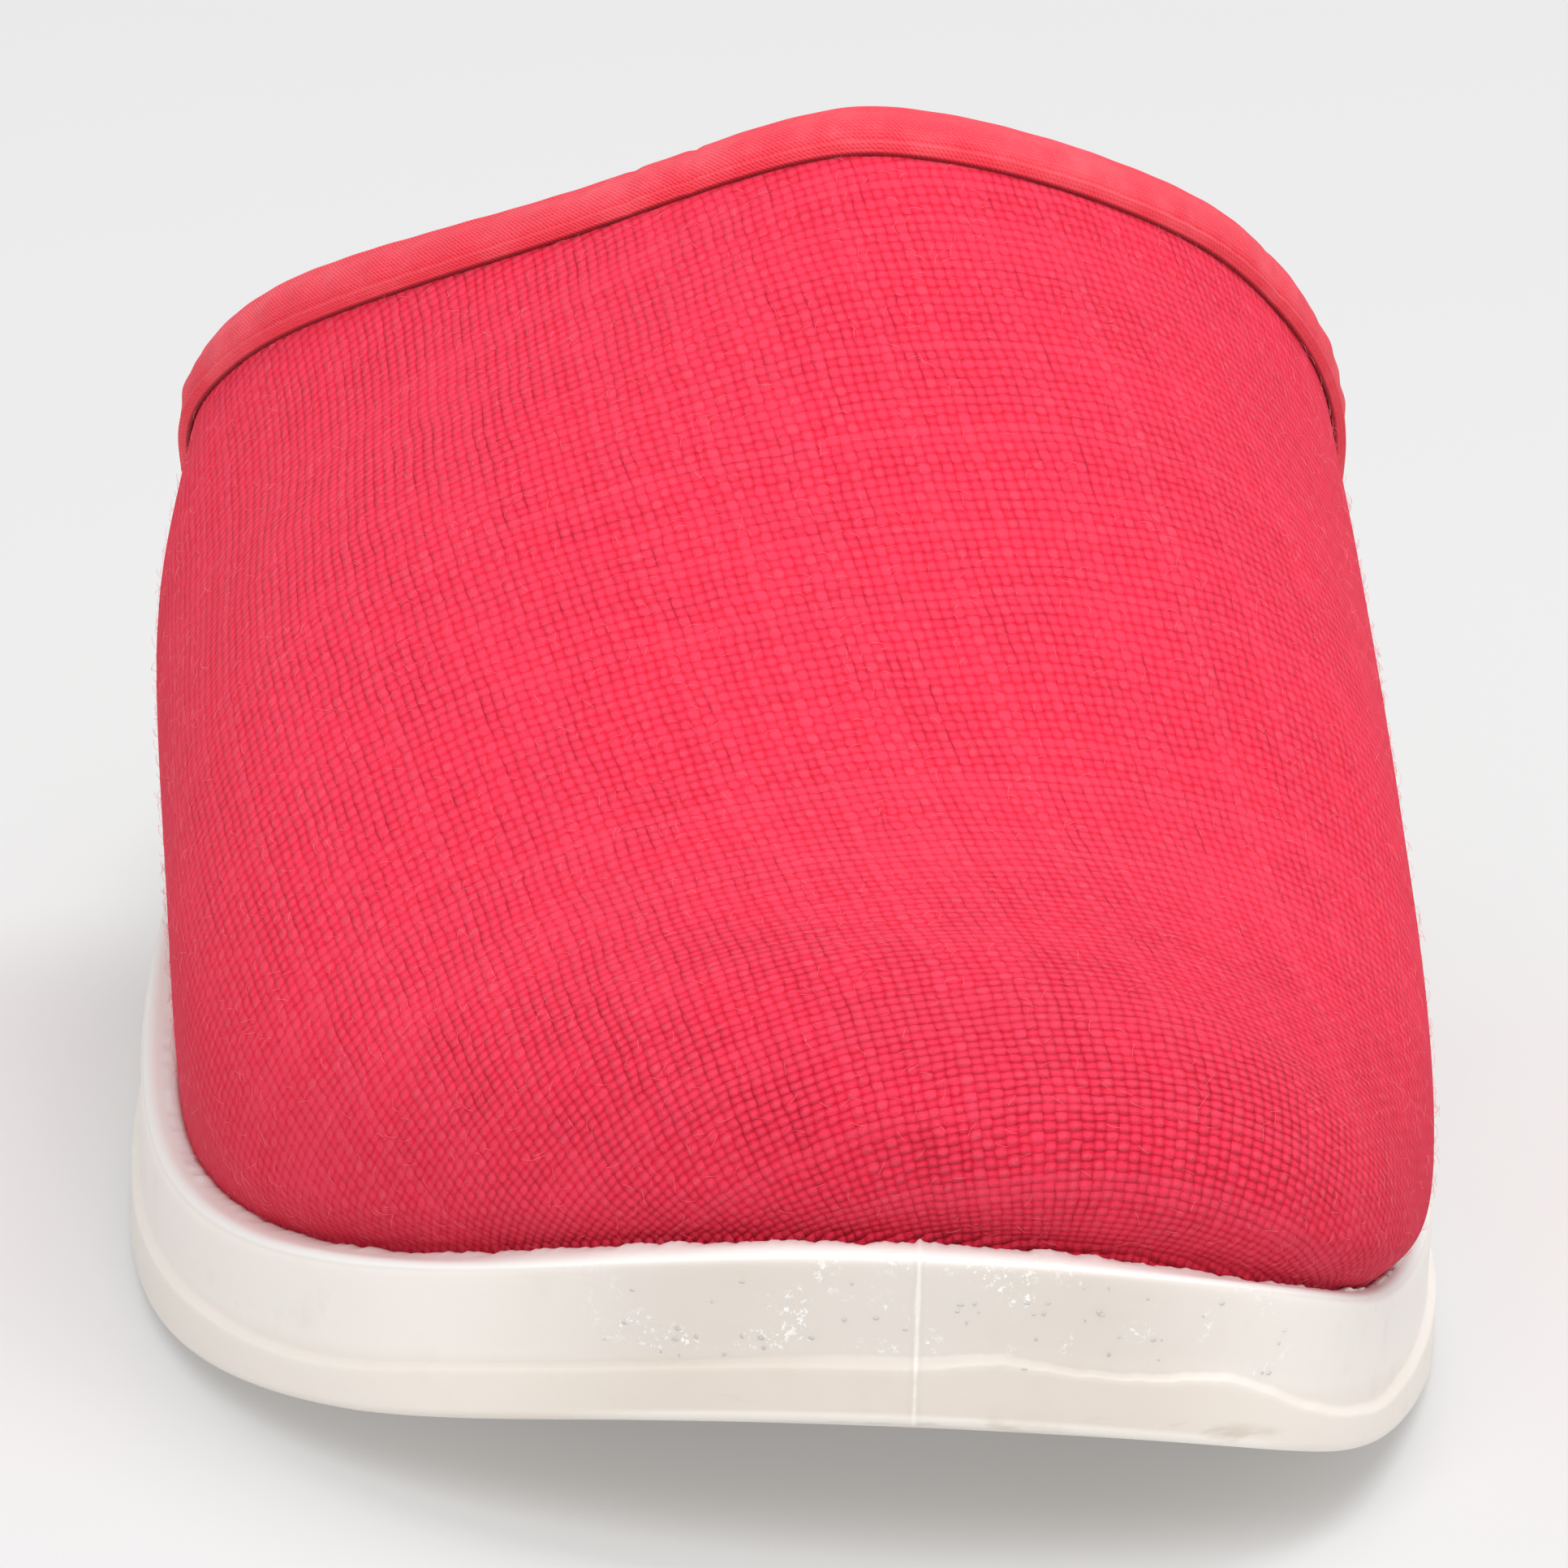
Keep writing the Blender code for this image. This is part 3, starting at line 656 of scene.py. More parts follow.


def rubber_finish():
    rubber = Finish(
        "cream rubber", Roughness=0.5, Specular_IOR_Level=0.35, Subsurface_Weight=0.35,
        Subsurface_Radius=(1.0, 0.95, 0.9), Subsurface_Scale=0.0014, Coat_Weight=0.05,
        Coat_Roughness=0.3,
    )
    spot = rubber.spot
    x, y, z = rubber.split(spot)
    above, face, toe = places_on_rubber(rubber, x, y, z)
    step = rubber.minus(above, BAND_HEIGHT)
    cloud = rubber.noise(spot, 34, detail=3)
    flow = rubber.noise(spot, 170, detail=3, roughness=0.6)
    brushed = rubber.noise(spot, 1500, detail=2, roughness=0.6, stretch=(1, 1, 0.06))
    skin = rubber.noise(spot, 1700, detail=2, roughness=0.6)
    clump = rubber.ramp(rubber.noise(spot, 190, detail=2), 0.51, 0.62)
    flakes = rubber.ramp(rubber.noise(spot, 1700, detail=4, roughness=0.75), 0.53, 0.60)
    flakes = rubber.times(rubber.times(flakes, clump), toe)
    flakes = rubber.times(flakes, rubber.ramp(step, 0.0006, 0.0012))
    pits = rubber.ramp(rubber.cells(spot, 240), 0.04, 0.13, 1.0, 0.0)
    pits = rubber.times(pits, rubber.ramp(rubber.noise(spot, 90, detail=1), 0.60, 0.70))
    seam = rubber.size(rubber.minus(x, SEAM_ACROSS + float(SHIFT[0])))
    broken = rubber.noise(spot, 700, detail=2, roughness=0.7)
    seam = rubber.times_plus(broken, SEAM_FRAYS, seam)
    seam = rubber.times(rubber.ramp(seam, SEAM_FROM, SEAM_TO, 1.0, 0.0), face)
    low = rubber.ramp(step, 0.0008, -0.0008)
    facing = rubber.split(rubber.nodes.new("ShaderNodeNewGeometry").outputs["Normal"])[2]
    # Painted light: faces on the ledge that look upwards are painted whiter, whitest where they look
    # most upwards, as if lit from above.
    lit_from_above = rubber.times(rubber.ramp(facing, *LEDGE_FACES), rubber.ramp(step, 0.0022, 0.0052))
    # Painted light: the toe's lowest band is painted near white, a bright edge standing in for light
    # along the bottom.
    painted_bottom_light = rubber.times(rubber.ramp(above, 0.0009, 0.0004), toe)
    blots = rubber.noise(spot, 130, detail=3, roughness=0.6, stretch=(1, 1, 4))
    stains = rubber.times(toe, rubber.ramp(above, 0.0022, 0.0012))
    stains = rubber.times(rubber.ramp(blots, 0.56, 0.72), stains)
    # Painted light: the sides away from the middle are painted lighter, standing in for light on
    # them, and a little less yellow.
    paler_lit_sides = rubber.ramp(rubber.size(rubber.minus(x, 0.008)), 0.014, 0.036)
    colour = rubber.paint(
        rubber.mix(rubber.ramp(cloud, 0.3, 0.7), (221, 212, 203), (225, 218, 211)),
        (rubber.times(paler_lit_sides, 0.9), (248, 242, 236)),
        (rubber.times(low, 0.24), (226, 212, 194)),
        (rubber.times(painted_bottom_light, 0.6), (255, 251, 245)),
        (rubber.times(rubber.ramp(flow, 0.55, 0.85), 0.2), (206, 192, 176)),
        (lit_from_above, rubber.mix(rubber.ramp(facing, 0.40, 0.66), (232, 227, 220), (241, 244, 240))),
        (rubber.times(stains, 0.28), (168, 142, 116)),
        (rubber.times(pits, 0.15), (196, 180, 164)),
        (rubber.times(flakes, 0.9), (255, 253, 250)),
        (rubber.times(seam, 0.5), (252, 248, 242)),
    )
    height = rubber.times(flow, 0.5)
    for mark, share in ((skin, 0.10), (brushed, 0.10), (pits, -0.16), (flakes, 0.15)):
        height = rubber.times_plus(mark, share, height)
    return rubber.give(
        Base_Color=colour, Roughness=rubber.ramp(flow, 0.25, 0.8, 0.42, 0.6),
        Normal=rubber.bump(height, 0.00022, 0.7),
    )


RUBBER = rubber_finish()
print("finish:", RUBBER.name)

# %% [markdown]
# ## The sole
# The real sole is moulded in one go: a wall of two bands round a flat bottom, with a recess on
# top for the footbed. It could be cut out of a block with modifiers, but its wall has the same
# profile all the way round, so a swept profile is truer: rings of points round the outline, one
# for each row of the profile, lowest first. The upper band lies half a millimetre inside the
# lower one, and a slightly deeper line between the two wanders where the mould's halves met.

# %% Rings round the sole
SOLE_STEPS = 560
RING_EVEN, RING_CROWDED, RING_POWER = 0.3, 0.7, 1.8  # the points lie closer near the toe


def ring_places(steps):
    """Sides and distances of a ring: inner edge to the heel, then outer edge back to the toe."""
    even = np.arange(steps + 1) / steps
    run = RING_EVEN * even + RING_CROWDED * even**RING_POWER
    side = np.concatenate([np.ones(steps + 1), -np.ones(steps - 1)])
    length = np.where(side > 0, EDGES[1].length[-1], EDGES[-1].length[-1])
    return side, np.concatenate([run, run[-2:0:-1]]) * length


def ring_points(side, distance, inset, height):
    """inset(back, side) and height(back) as points of one ring."""
    spots = np.zeros((len(side), 2))
    for each in (1, -1):
        here = side == each
        back = EDGES[each].at(distance[here])[:, 1]
        spots[here] = EDGES[each].at(distance[here], inset(back, each))
    return np.concatenate([spots, height(spots[:, 1])[:, None]], axis=1)


def cap_ring(points, faces, ring, columns, height_of, under=False):
    """Closes a ring with a grid from its inner to its outer half, and returns all points."""
    half = len(ring) // 2
    inner, outer = ring[: half + 1], np.concatenate([ring[:1], ring[: half - 1 : -1]])
    share = np.linspace(0, 1, columns)[None, :]
    plan = inner[:, None, :2] * (1 - share[..., None]) + outer[:, None, :2] * share[..., None]
    height = height_of(plan[..., 0], plan[..., 1], share)
    height[:, 0], height[:, -1] = inner[:, 2], outer[:, 2]
    cap = grid_faces(*plan.shape[:2], first=len(points))
    faces.append(cap if under else cap[:, ::-1])
    return np.concatenate([points, np.dstack([plan, height[..., None]]).reshape(-1, 3)])


sole_side, sole_distance = ring_places(SOLE_STEPS)
print("sole ring:", len(sole_side), "points, closest",
      round(float(np.diff(sole_distance[: SOLE_STEPS]).min()) * 1e6), "micrometres apart")

# %% [markdown]
# ### The mould's marks
# A moulded sole is never quite even along its front: the step between the bands wanders up and
# down, the rubber climbs on to the cloth, where its edge is a little torn, and a thin raised
# line runs up the toe where the mould's halves met. Noise would put such marks anywhere, but
# each has its own place, so two small tables hold how far the step and the rim wander.

# %% The wandering step, the climbing rim and the seam
STEP_WANDERS = (
    # across, step above its even height, height of its sloping shoulder
    (-0.050, -0.0008, 0.0005),
    (-0.043, -0.0010, 0.0005),
    (-0.036, -0.0012, 0.0005),
    (-0.028, -0.0008, 0.0004),
    (-0.014, -0.0005, 0.0004),
    (-0.002, -0.0001, 0.0006),
    (0.006, 0.0003, 0.0010),
    (0.0115, 0.0004, 0.0009),
    (0.0165, 0.0008, 0.0007),
    (0.0220, 0.0001, 0.0004),
    (0.0290, 0.0003, 0.0004),
    (0.0345, 0.0005, 0.0005),
    (0.0390, -0.0009, 0.0005),
    (0.0430, -0.0016, 0.0004),
    (0.0475, -0.0016, 0.0004),
)
RIM_CLIMBS = (
    # across, how far the rubber climbs on to the cloth
    (-0.050, 0.00010),
    (-0.034, 0.00010),
    (-0.027, 0.00030),
    (-0.020, 0.00085),
    (-0.012, 0.00115),
    (0.000, 0.00130),
    (0.010, 0.00125),
    (0.020, 0.00110),
    (0.026, 0.00085),
    (0.032, 0.00045),
    (0.038, 0.00010),
    (0.050, 0.00005),
)
RIM_CLIMBS_MOST = 0.0013
RIM_CLIMBS_BEHIND = 0.0001
RIM_OVERLAP = 0.00125
RIM_TEARS = ((1.0, 0.8, 0.4), (0.7, 0.3, 2.2), (0.7, 2.6, 5))  # share, fineness, seed
STEP_RIPPLE = 0.00009
SEAM_WIDTH = 0.00024
SEAM_PROUD = 0.00022
SEAM_ENDS = 0.03


def wander(across):
    table = np.array(STEP_WANDERS)
    return spline(table[:, 0], table[:, 1:])(np.clip(across, table[0, 0], table[-1, 0]))


def roughly(run, seed):
    """A lively line from -1 to 1 along a run, from three waves that never quite meet."""
    return (
        np.sin(run * 1900 + seed) * 0.45 + np.sin(run * 3770 + 2 * seed) * 0.3
        + np.sin(run * 730 + 3 * seed) * 0.45
    )


def step_height(across, back):
    front = 1 - fade(back, 0.02, 0.05)
    ripple = STEP_RIPPLE * roughly(across, 1.0) * fade(across, 0.010, 0.006)
    return BAND_HEIGHT + (wander(across)[..., 0] + ripple) * front


def under_cloth(back):
    """1 where the upper stands on the ledge, 0 behind the topline."""
    return 1 - fade(np.asarray(back) - TOPLINE_FOOT, -0.01, 0.02)


def rim_climb(across, back):
    front = 1 - fade(back, 0.03, 0.04)
    return np.interp(across, *np.array(RIM_CLIMBS).T) * front + RIM_CLIMBS_BEHIND * (1 - front)


def rim_share(back, side):
    across = EDGES[side].at(EDGES[side].distance(back))[..., 0]
    return np.clip(rim_climb(across, back) / RIM_CLIMBS_MOST, 0, 1) * under_cloth(back)


def rim_end(back, side):
    overlap = RIM_OVERLAP * (0.25 + 0.75 * rim_share(back, side))
    return recess_inset(back, side) - overlap * under_cloth(back)


def seam_share(across, back):
    return mound(across, SEAM_ACROSS, SEAM_WIDTH) * (back < SEAM_ENDS)


print("seam", SEAM_ACROSS * 1000, "mm inward of the middle")

# %% The sole's profile, row by row
STEP_DEEP = 0.00072  # the line between the bands lies this far inside the lower band
STEP_ABOVE = 0.0004  # and reaches this far above the step
RIM_ROWS = 14
RIM_ARC = 0.95
RIM_SWELLS = 1.3
LIP_ROWS = (
    # less inset under the cloth, inset past the recess, share of the climb
    (0.0002, 0.00010, 0.94),
    (0.0, 0.00040, 0.5),
)
RECESS_ROWS = (0.0003, 0.5 * RECESS_DEPTH, RECESS_DEPTH)


def rim_row(share):
    """One row over the rim: a quarter round and a flat ledge, or one arc where it climbs."""
    turn, flat = min(share / 0.5, 1) * math.pi / 2, max(0.0, share - 0.5) / 0.5
    arc = share * RIM_ARC
    part = (1 - math.cos(arc)) / (1 - math.cos(RIM_ARC))
    rise = math.sin(arc) / math.sin(RIM_ARC)
    away, drop = EDGE_ROUND * (1 - math.cos(turn)), EDGE_ROUND * (1 - math.sin(turn))

    def inset(b, s):
        bare = away + (rim_end(b, s) - BAND_STEP - EDGE_ROUND) * flat
        bent = (rim_end(b, s) - BAND_STEP) * part
        climbs = rim_share(b, s)
        return BAND_STEP + bare * (1 - climbs) + bent * climbs

    def height(b, t, w, r):
        bare = r * flat**RIM_SWELLS - drop
        bent = (EDGE_ROUND + r) * rise - EDGE_ROUND
        climbs = np.clip(r / RIM_CLIMBS_MOST, 0, 1)
        return ledge(b) + bare * (1 - climbs) + bent * climbs

    return inset, height


def sole_rows():
    """Each ring's inset(b, s) and height(b, t, w, r), lowest first: at a place b behind the toe
    tip on the side s, where the step is at t with a shoulder w high and the rim climbs by r."""
    rows = []

    def add(inset, height):
        rows.append((inset, height))

    for turn in np.linspace(math.pi / 2, 0, 7):
        away = BOTTOM_ROUND * (1 - math.cos(turn))
        rise = BOTTOM_ROUND * (1 - math.sin(turn))
        add(lambda b, s, d=away: d, lambda b, t, w, r, h=rise: underside(b) + h)
    for share in (0.4, 0.7, 0.9):
        add(lambda b, s: 0.0, lambda b, t, w, r, k=share: underside(b) + BOTTOM_ROUND
            + (t - w - BOTTOM_ROUND) * k)
    for share in np.linspace(0, 1, 10):
        away = STEP_DEEP * float(smooth_step(share))
        add(lambda b, s, d=away: d, lambda b, t, w, r, k=share: (
            underside(b) + t - w + (w + STEP_ABOVE) * k))
    for share in (0.2, 0.4, 0.6, 0.8, 0.92):
        away = STEP_DEEP + (BAND_STEP - STEP_DEEP) * share
        add(lambda b, s, d=away: d, lambda b, t, w, r, k=share: (
            underside(b) + t + STEP_ABOVE) * (1 - k) + (ledge(b) - EDGE_ROUND) * k)
    for share in np.linspace(0, 1, RIM_ROWS):
        add(*rim_row(share))
    for covered, past, climb in LIP_ROWS:
        add(lambda b, s, c=covered, p=past: recess_inset(b, s) + p - c * under_cloth(b),
            lambda b, t, w, r, k=climb: ledge(b) + r * k)
    for down in RECESS_ROWS:
        add(recess_inset, lambda b, t, w, r, h=down: ledge(b) - h)
    return rows


print("profile rows:", len(sole_rows()))

# %% [markdown]
# ### The tread
# The underside has rounded grooves in waves across the ball and the heel, for grip. They could
# be cut out with a modifier, but the bottom is a fine grid of points already, so each point is
# only moved up by the depth of the groove that it lies in.

# %% Waved grooves
TREAD_ZONES = ((0.16, 0.42), (0.73, 0.93))
GROOVE_WIDTH = 0.0024
GROOVE_DEPTH = 0.0018
GROOVE_WAVE = 0.0030
GROOVE_WAVES = 1.5
GROOVE_PITCH = 0.0090
GROOVE_MARGIN = 0.009
GROOVE_ENDS = 0.03


def tread_depth(across, back):
    """How deep the waved grooves cut into the underside at a place."""
    depth = np.zeros_like(across)
    for zone_from, zone_to in TREAD_ZONES:
        run = (zone_to - zone_from) * LENGTH
        grooves = round(run / GROOVE_PITCH) + 1
        for groove in range(grooves):
            middle = zone_from * LENGTH + run * groove / (grooves - 1)
            inner, outer = (
                EDGES[s].at(EDGES[s].distance(middle))[0] - GROOVE_MARGIN * s for s in (1, -1)
            )
            share = (across - outer) / (inner - outer)
            wave = middle + GROOVE_WAVE * np.cos(2 * np.pi * share * GROOVE_WAVES)
            beside = np.abs(back - wave) / (GROOVE_WIDTH / 2)
            ends = fade(share, 0, GROOVE_ENDS) * fade(share, 1, -GROOVE_ENDS)
            depth = np.maximum(depth, GROOVE_DEPTH * ends * (1 - fade(beside, 0.5, 1)))
    return depth


print("tread zones:", len(TREAD_ZONES))


# %% Make the sole
BOW_FADES = 0.006  # the bow of the underside ends this far up the wall
RIM_TORN = 0.00012
TORN_SHARES = (0.15, 0.45, 0.8, 1.0, 1.0, 0.5)  # of the last rim rows and the lip rows
SEAM_ON_TOP = (0.6, 1.3)  # how much of the seam stands up on the rim and on the lip


def sole_rings():
    rings = []
    for inset, height in sole_rows():
        spots = ring_points(sole_side, sole_distance, inset, lambda b: b * 0)
        across, back = spots[:, 0], spots[:, 1]
        climb = rim_climb(across, back) * under_cloth(back)
        step = step_height(across, back)
        spots[:, 2] = height(back, step, wander(across)[:, 1], climb)
        up_wall = fade(spots[:, 2] - underside(back), step, BOW_FADES)
        spots[:, 2] += under_bow(across, back) * (1 - up_wall)
        rings.append(spots)
    return rings


def tear_rim(rings):
    run = sole_distance * sole_side
    torn = sum(share * roughly(run * fine, seed) for share, fine, seed in RIM_TEARS)
    end = len(rings) - len(RECESS_ROWS)
    for ring, share in zip(rings[end - len(TORN_SHARES) : end], TORN_SHARES):
        ring[:, 2] += RIM_TORN * torn * share * under_cloth(ring[:, 1])


def raise_seam(rings):
    """Pushes the seam out of the wall, and up where the rings have turned over the rim."""
    lip = len(rings) - len(RECESS_ROWS) - len(LIP_ROWS) - 1
    flat = lip - RIM_ROWS // 2 + 1
    for level, spots in enumerate(rings[: -len(RECESS_ROWS)]):
        proud = SEAM_PROUD * seam_share(spots[:, 0], spots[:, 1])
        outward = np.gradient(spots[:, :2], axis=0)
        outward = np.stack([outward[:, 1], -outward[:, 0]], 1)
        outward /= np.linalg.norm(outward, axis=1, keepdims=True) + 1e-12
        if level < flat:
            spots[:, :2] += outward * proud[:, None]
        else:
            spots[:, 2] += proud * SEAM_ON_TOP[level >= lip]


def make_sole():
    rings = sole_rings()
    tear_rim(rings)
    raise_seam(rings)
    points, faces = np.concatenate(rings), [grid_faces(len(rings), len(sole_side), closed=True)]
    points = cap_ring(
        points, faces, rings[0], 49,
        lambda a, b, share: underside(b) + tread_depth(a, b) + under_bow(a, b), under=True,
    )
    points = cap_ring(points, faces, rings[-1], 9, lambda a, b, share: ledge(b) - RECESS_DEPTH)
    points, faces = weld(points, np.concatenate(faces))
    return make_piece("rubber_sole", place(points), faces, RUBBER, "sole")


sole = make_sole()

# %% [markdown]
# ## The footbed
# A thin foam bed covered in a plain beige cloth lies in the sole's recess. Under the upper it
# keeps clear of the wall. Behind the upper it fills the recess and stands a little proud. Cloth
# simulation could puff it, but a glued bed this thin is firm and keeps its moulded form, so it
# is drawn as rings too, with a rounded edge and a slightly dished top. Two crossing sine waves
# give its cover the look of a plain weave.

# %% The footbed's cloth
FOOTBED_PITCH = 0.0011


def footbed_finish():
    cloth = Finish("beige footbed cloth", Roughness=0.9, Sheen_Weight=0.25, Sheen_Roughness=0.5)
    x, y, _ = cloth.split(cloth.spot)
    wobble = cloth.noise(cloth.spot, 420, detail=2)
    lines = []
    for axis, shift in ((x, 0.0), (y, 0.25)):
        turn = cloth.times_plus(axis, 2 * math.pi / FOOTBED_PITCH, shift)
        lines.append(cloth.sine(cloth.times_plus(wobble, 3.0, turn)))
    weave = cloth.times(*lines)
    patch = cloth.noise(cloth.spot, 45, detail=3)
    colour = cloth.paint(
        cloth.mix(cloth.ramp(weave, -0.9, 0.9), (202, 188, 166), (224, 212, 193)),
        (cloth.ramp(patch, 0.3, 0.8, 0, 0.3), (206, 190, 166)),
    )
    height = cloth.times_plus(wobble, 0.8, weave)
    return cloth.give(Base_Color=colour, Normal=cloth.bump(height, 0.00012, 0.8))


FOOTBED_CLOTH = footbed_finish()
print("finish:", FOOTBED_CLOTH.name)

# %% Make the footbed
INSOLE_PROUD = 0.0012
INSOLE_DISH = 0.0010
INSOLE_ROUND = 0.0010
DISH_ENDS = 0.006  # the dish ends this far before the heel
FOOTBED_STEPS = 260


def make_footbed():
    def free(back):
        return fade(back - TOPLINE_FOOT, 0.003, 0.004)

    def inset(back, side):
        return recess_inset(back, side) + GAP + (WALL + GAP) * (1 - free(back))

    def bottom(back):
        return ledge(back) - RECESS_DEPTH + GAP

    def top(back):
        return ledge(back) - GAP + (GAP + INSOLE_PROUD) * free(back)

    def dished(across, back, share):
        dish = INSOLE_DISH * free(back) * np.sin(math.pi * share) ** 2
        return top(back) - dish * fade(back, LENGTH - DISH_ENDS, -0.03)

    side, distance = ring_places(FOOTBED_STEPS)
    rings = [ring_points(side, distance, inset, bottom)]
    for turn in np.linspace(0, math.pi / 2, 7):
        away, down = INSOLE_ROUND * (1 - math.cos(turn)), INSOLE_ROUND * (1 - math.sin(turn))
        rings.append(ring_points(side, distance, lambda b, s, d=away: inset(b, s) + d,
                                 lambda b, h=down: top(b) - h))
    points, faces = np.concatenate(rings), [grid_faces(len(rings), len(side), closed=True)]
    points = cap_ring(points, faces, rings[0], 7, lambda a, b, share: bottom(b), under=True)
    points = cap_ring(points, faces, rings[-1], 41, dished)
    points, faces = weld(points, np.concatenate(faces))
    return make_piece("footbed", place(points), faces, FOOTBED_CLOTH, "insole")


footbed = make_footbed()

# %% [markdown]
# ## The cloth's flat pattern
# Canvas is cut flat and pulled over the last, so its threads have to be laid out flat too.
# Seen straight from above they would crowd on the flanks, where the face stands steeply. So
# Blender's Minimum Stretch unwrap does what a pattern cutter does with tape on a last: it lifts
# the curved face off as one flat piece that stretches as little as it can anywhere. It runs on
# a coarse copy of the last's face that reaches past the canvas's own edges. The flat piece is
# then turned until one warp thread runs from the throat to the toe, and scaled to true size.

# %% A face that reaches past the canvas's edges
PATTERN_TURNS = 1.04
PATTERN_BELOW = -0.5


def whole_upper(turns, levels):
    """Points of the upper's face, signed turns by levels, past its edges too."""
    grid = []
    for turn in turns:
        side = 1 if turn > 0 else -1
        inside = np.clip(levels, 0, 2)
        row = upper_point(side, min(abs(turn), 2 - abs(turn)), inside)
        if abs(turn) > 1:
            row = 2 * upper_point(side, 1.0, inside) - row
        below = levels < 0
        if below.any():
            foot = upper_point(side, min(abs(turn), 1.0), np.zeros(below.sum()))
            row[below] = 2 * foot - upper_point(side, min(abs(turn), 1.0), -levels[below])
        grid.append(row)
    return np.array(grid)


pattern_grid = whole_upper(
    np.linspace(-PATTERN_TURNS, PATTERN_TURNS, 141),
    np.concatenate([np.linspace(PATTERN_BELOW, 1, 12)[:-1], np.linspace(1, 2, 26)]),
)
pattern_points, pattern_faces = weld(
    pattern_grid.reshape(-1, 3), grid_faces(*pattern_grid.shape[:2])[:, ::-1]
)
print("pattern face:", len(pattern_points), "points")

# %% Lay the face flat
WARP_FROM = (-0.0145, 0.113)
WARP_TO = (0.0070, 0.020)


def per_corner(mesh):
    """The point that each corner of a mesh's faces belongs to."""
    corners = np.empty(len(mesh.loops), np.int32)
    mesh.loops.foreach_get("vertex_index", corners)
    return corners


def lay_flat(points, faces):
    mesh = bpy.data.meshes.new("pattern")
    mesh.from_pydata(points.tolist(), [], faces)
    bm = bmesh.new()
    bm.from_mesh(mesh)
    bmesh.ops.triangulate(bm, faces=bm.faces)
    bm.to_mesh(mesh)
    bm.free()
    shape = add_object("pattern", mesh)
    mesh.uv_layers.new(name="flat")
    bpy.context.view_layer.objects.active = shape
    for each in bpy.context.selected_objects:
        each.select_set(False)
    shape.select_set(True)
    bpy.ops.object.mode_set(mode="EDIT")
    bpy.ops.mesh.select_all(action="SELECT")
    bpy.ops.uv.unwrap(method="MINIMUM_STRETCH", iterations=60, no_flip=True, margin=0.0)
    bpy.ops.object.mode_set(mode="OBJECT")
    corners = per_corner(mesh)
    flat = np.empty(len(corners) * 2, np.float32)
    mesh.uv_layers[0].data.foreach_get("uv", flat)
    places = np.zeros((len(points), 2))
    places[corners] = flat.reshape(-1, 2)
    bpy.data.objects.remove(shape)
    return places, corners.reshape(-1, 3)


places, triangles = lay_flat(pattern_points, pattern_faces)
corner = [pattern_points[triangles[:, k]] for k in range(3)]
flat_corner = [places[triangles[:, k]] for k in range(3)]
true_area = np.linalg.norm(np.cross(corner[1] - corner[0], corner[2] - corner[0]), axis=1).sum()
one, two = (c - flat_corner[0] for c in flat_corner[1:])
flat_area = np.abs(one[:, 0] * two[:, 1] - one[:, 1] * two[:, 0]).sum()
places *= math.sqrt(true_area / flat_area)
pattern = BVHTree.FromPolygons(pattern_points.tolist(), triangles.tolist())
print("cloth area in square centimetres:", round(true_area / 2 * 1e4, 1))


# %% Read a place in the cloth off the pattern
def cloth_places(points):
    """The flat places of points on the face, by their shares of the triangle they lie in."""
    found = [pattern.find_nearest(Vector(p)) for p in points]
    spots = np.array([f[0] for f in found])
    faces = triangles[[f[2] for f in found]]
    a, b, c = (pattern_points[faces[:, k]] for k in range(3))
    ab, ac, ap = b - a, c - a, spots - a
    d00, d01, d11 = (ab * ab).sum(1), (ab * ac).sum(1), (ac * ac).sum(1)
    d20, d21 = (ap * ab).sum(1), (ap * ac).sum(1)
    whole = d00 * d11 - d01 * d01
    second, third = (d11 * d20 - d01 * d21) / whole, (d00 * d21 - d01 * d20) / whole
    share = np.stack([1 - second - third, second, third], 1)[..., None]
    return (places[faces] * share).sum(1)


def on_top(across, back):
    height = top_height(np.array([across]), np.array([back]))
    return [across, back, float(height[0])]


ends = cloth_places([on_top(*WARP_FROM), on_top(*WARP_TO)])
way = (ends[1] - ends[0]) / np.linalg.norm(ends[1] - ends[0])
turned = np.array([[-way[1], way[0]], [-way[0], -way[1]]])
places = (places - ends[1]) @ turned.T
sample = cloth_places([on_top(0.0, 0.06), on_top(0.001, 0.06), on_top(0.0, 0.061)])
if np.cross(sample[1] - sample[0], sample[2] - sample[0]) < 0:
    places[:, 0] *= -1
print("cloth spans", np.round((places.max(0) - places.min(0)) * 1000), "mm")

# %% [markdown]
# ## The canvas's finish
# Plain weave: each warp thread goes over one weft thread and under the next. An image or two
# crossing waves would look printed on, because slub yarn is never even, so here the texture
# coordinates count threads: the whole part of a number says which thread this is, and the
# remainder says where in its width. Each thread is a rounded bump that rises and dips like a
# cosine, and the higher of the two threads is the one that shows. Shade is painted into the
# colour: the low parts of the threads are painted a deeper red, the holes at the crossings are
# painted dark, and between two threads lies a painted dark line of shade, deep in some places
# and closed by fuzz in others, most of all low on the flanks, where the nap is rubbed up. A few
# thread tops get a painted highlight. Every thread, crossing and line gets its own chance value.

# %% Count the threads
WARP_PITCH = 0.00088
WEFT_PITCH_INSTEP = 0.00112
WEFT_PITCH_TOE = 0.00069
TOE_ROWS_FROM = 0.004
TOE_ROWS_SOFT = 0.006


def count_threads(cloth):
    """Places in the cloth in metres as numbers of threads; the rows crowd round the toe."""
    along = cloth[:, 1]
    past = (TOE_ROWS_FROM - along) / TOE_ROWS_SOFT
    toe = TOE_ROWS_SOFT * np.logaddexp(0, past)
    rows = along / WEFT_PITCH_INSTEP - toe * (1 / WEFT_PITCH_TOE - 1 / WEFT_PITCH_INSTEP)
    return np.stack([cloth[:, 0] / WARP_PITCH, rows], 1)


print("warp threads per centimetre:", round(0.01 / WARP_PITCH, 1))


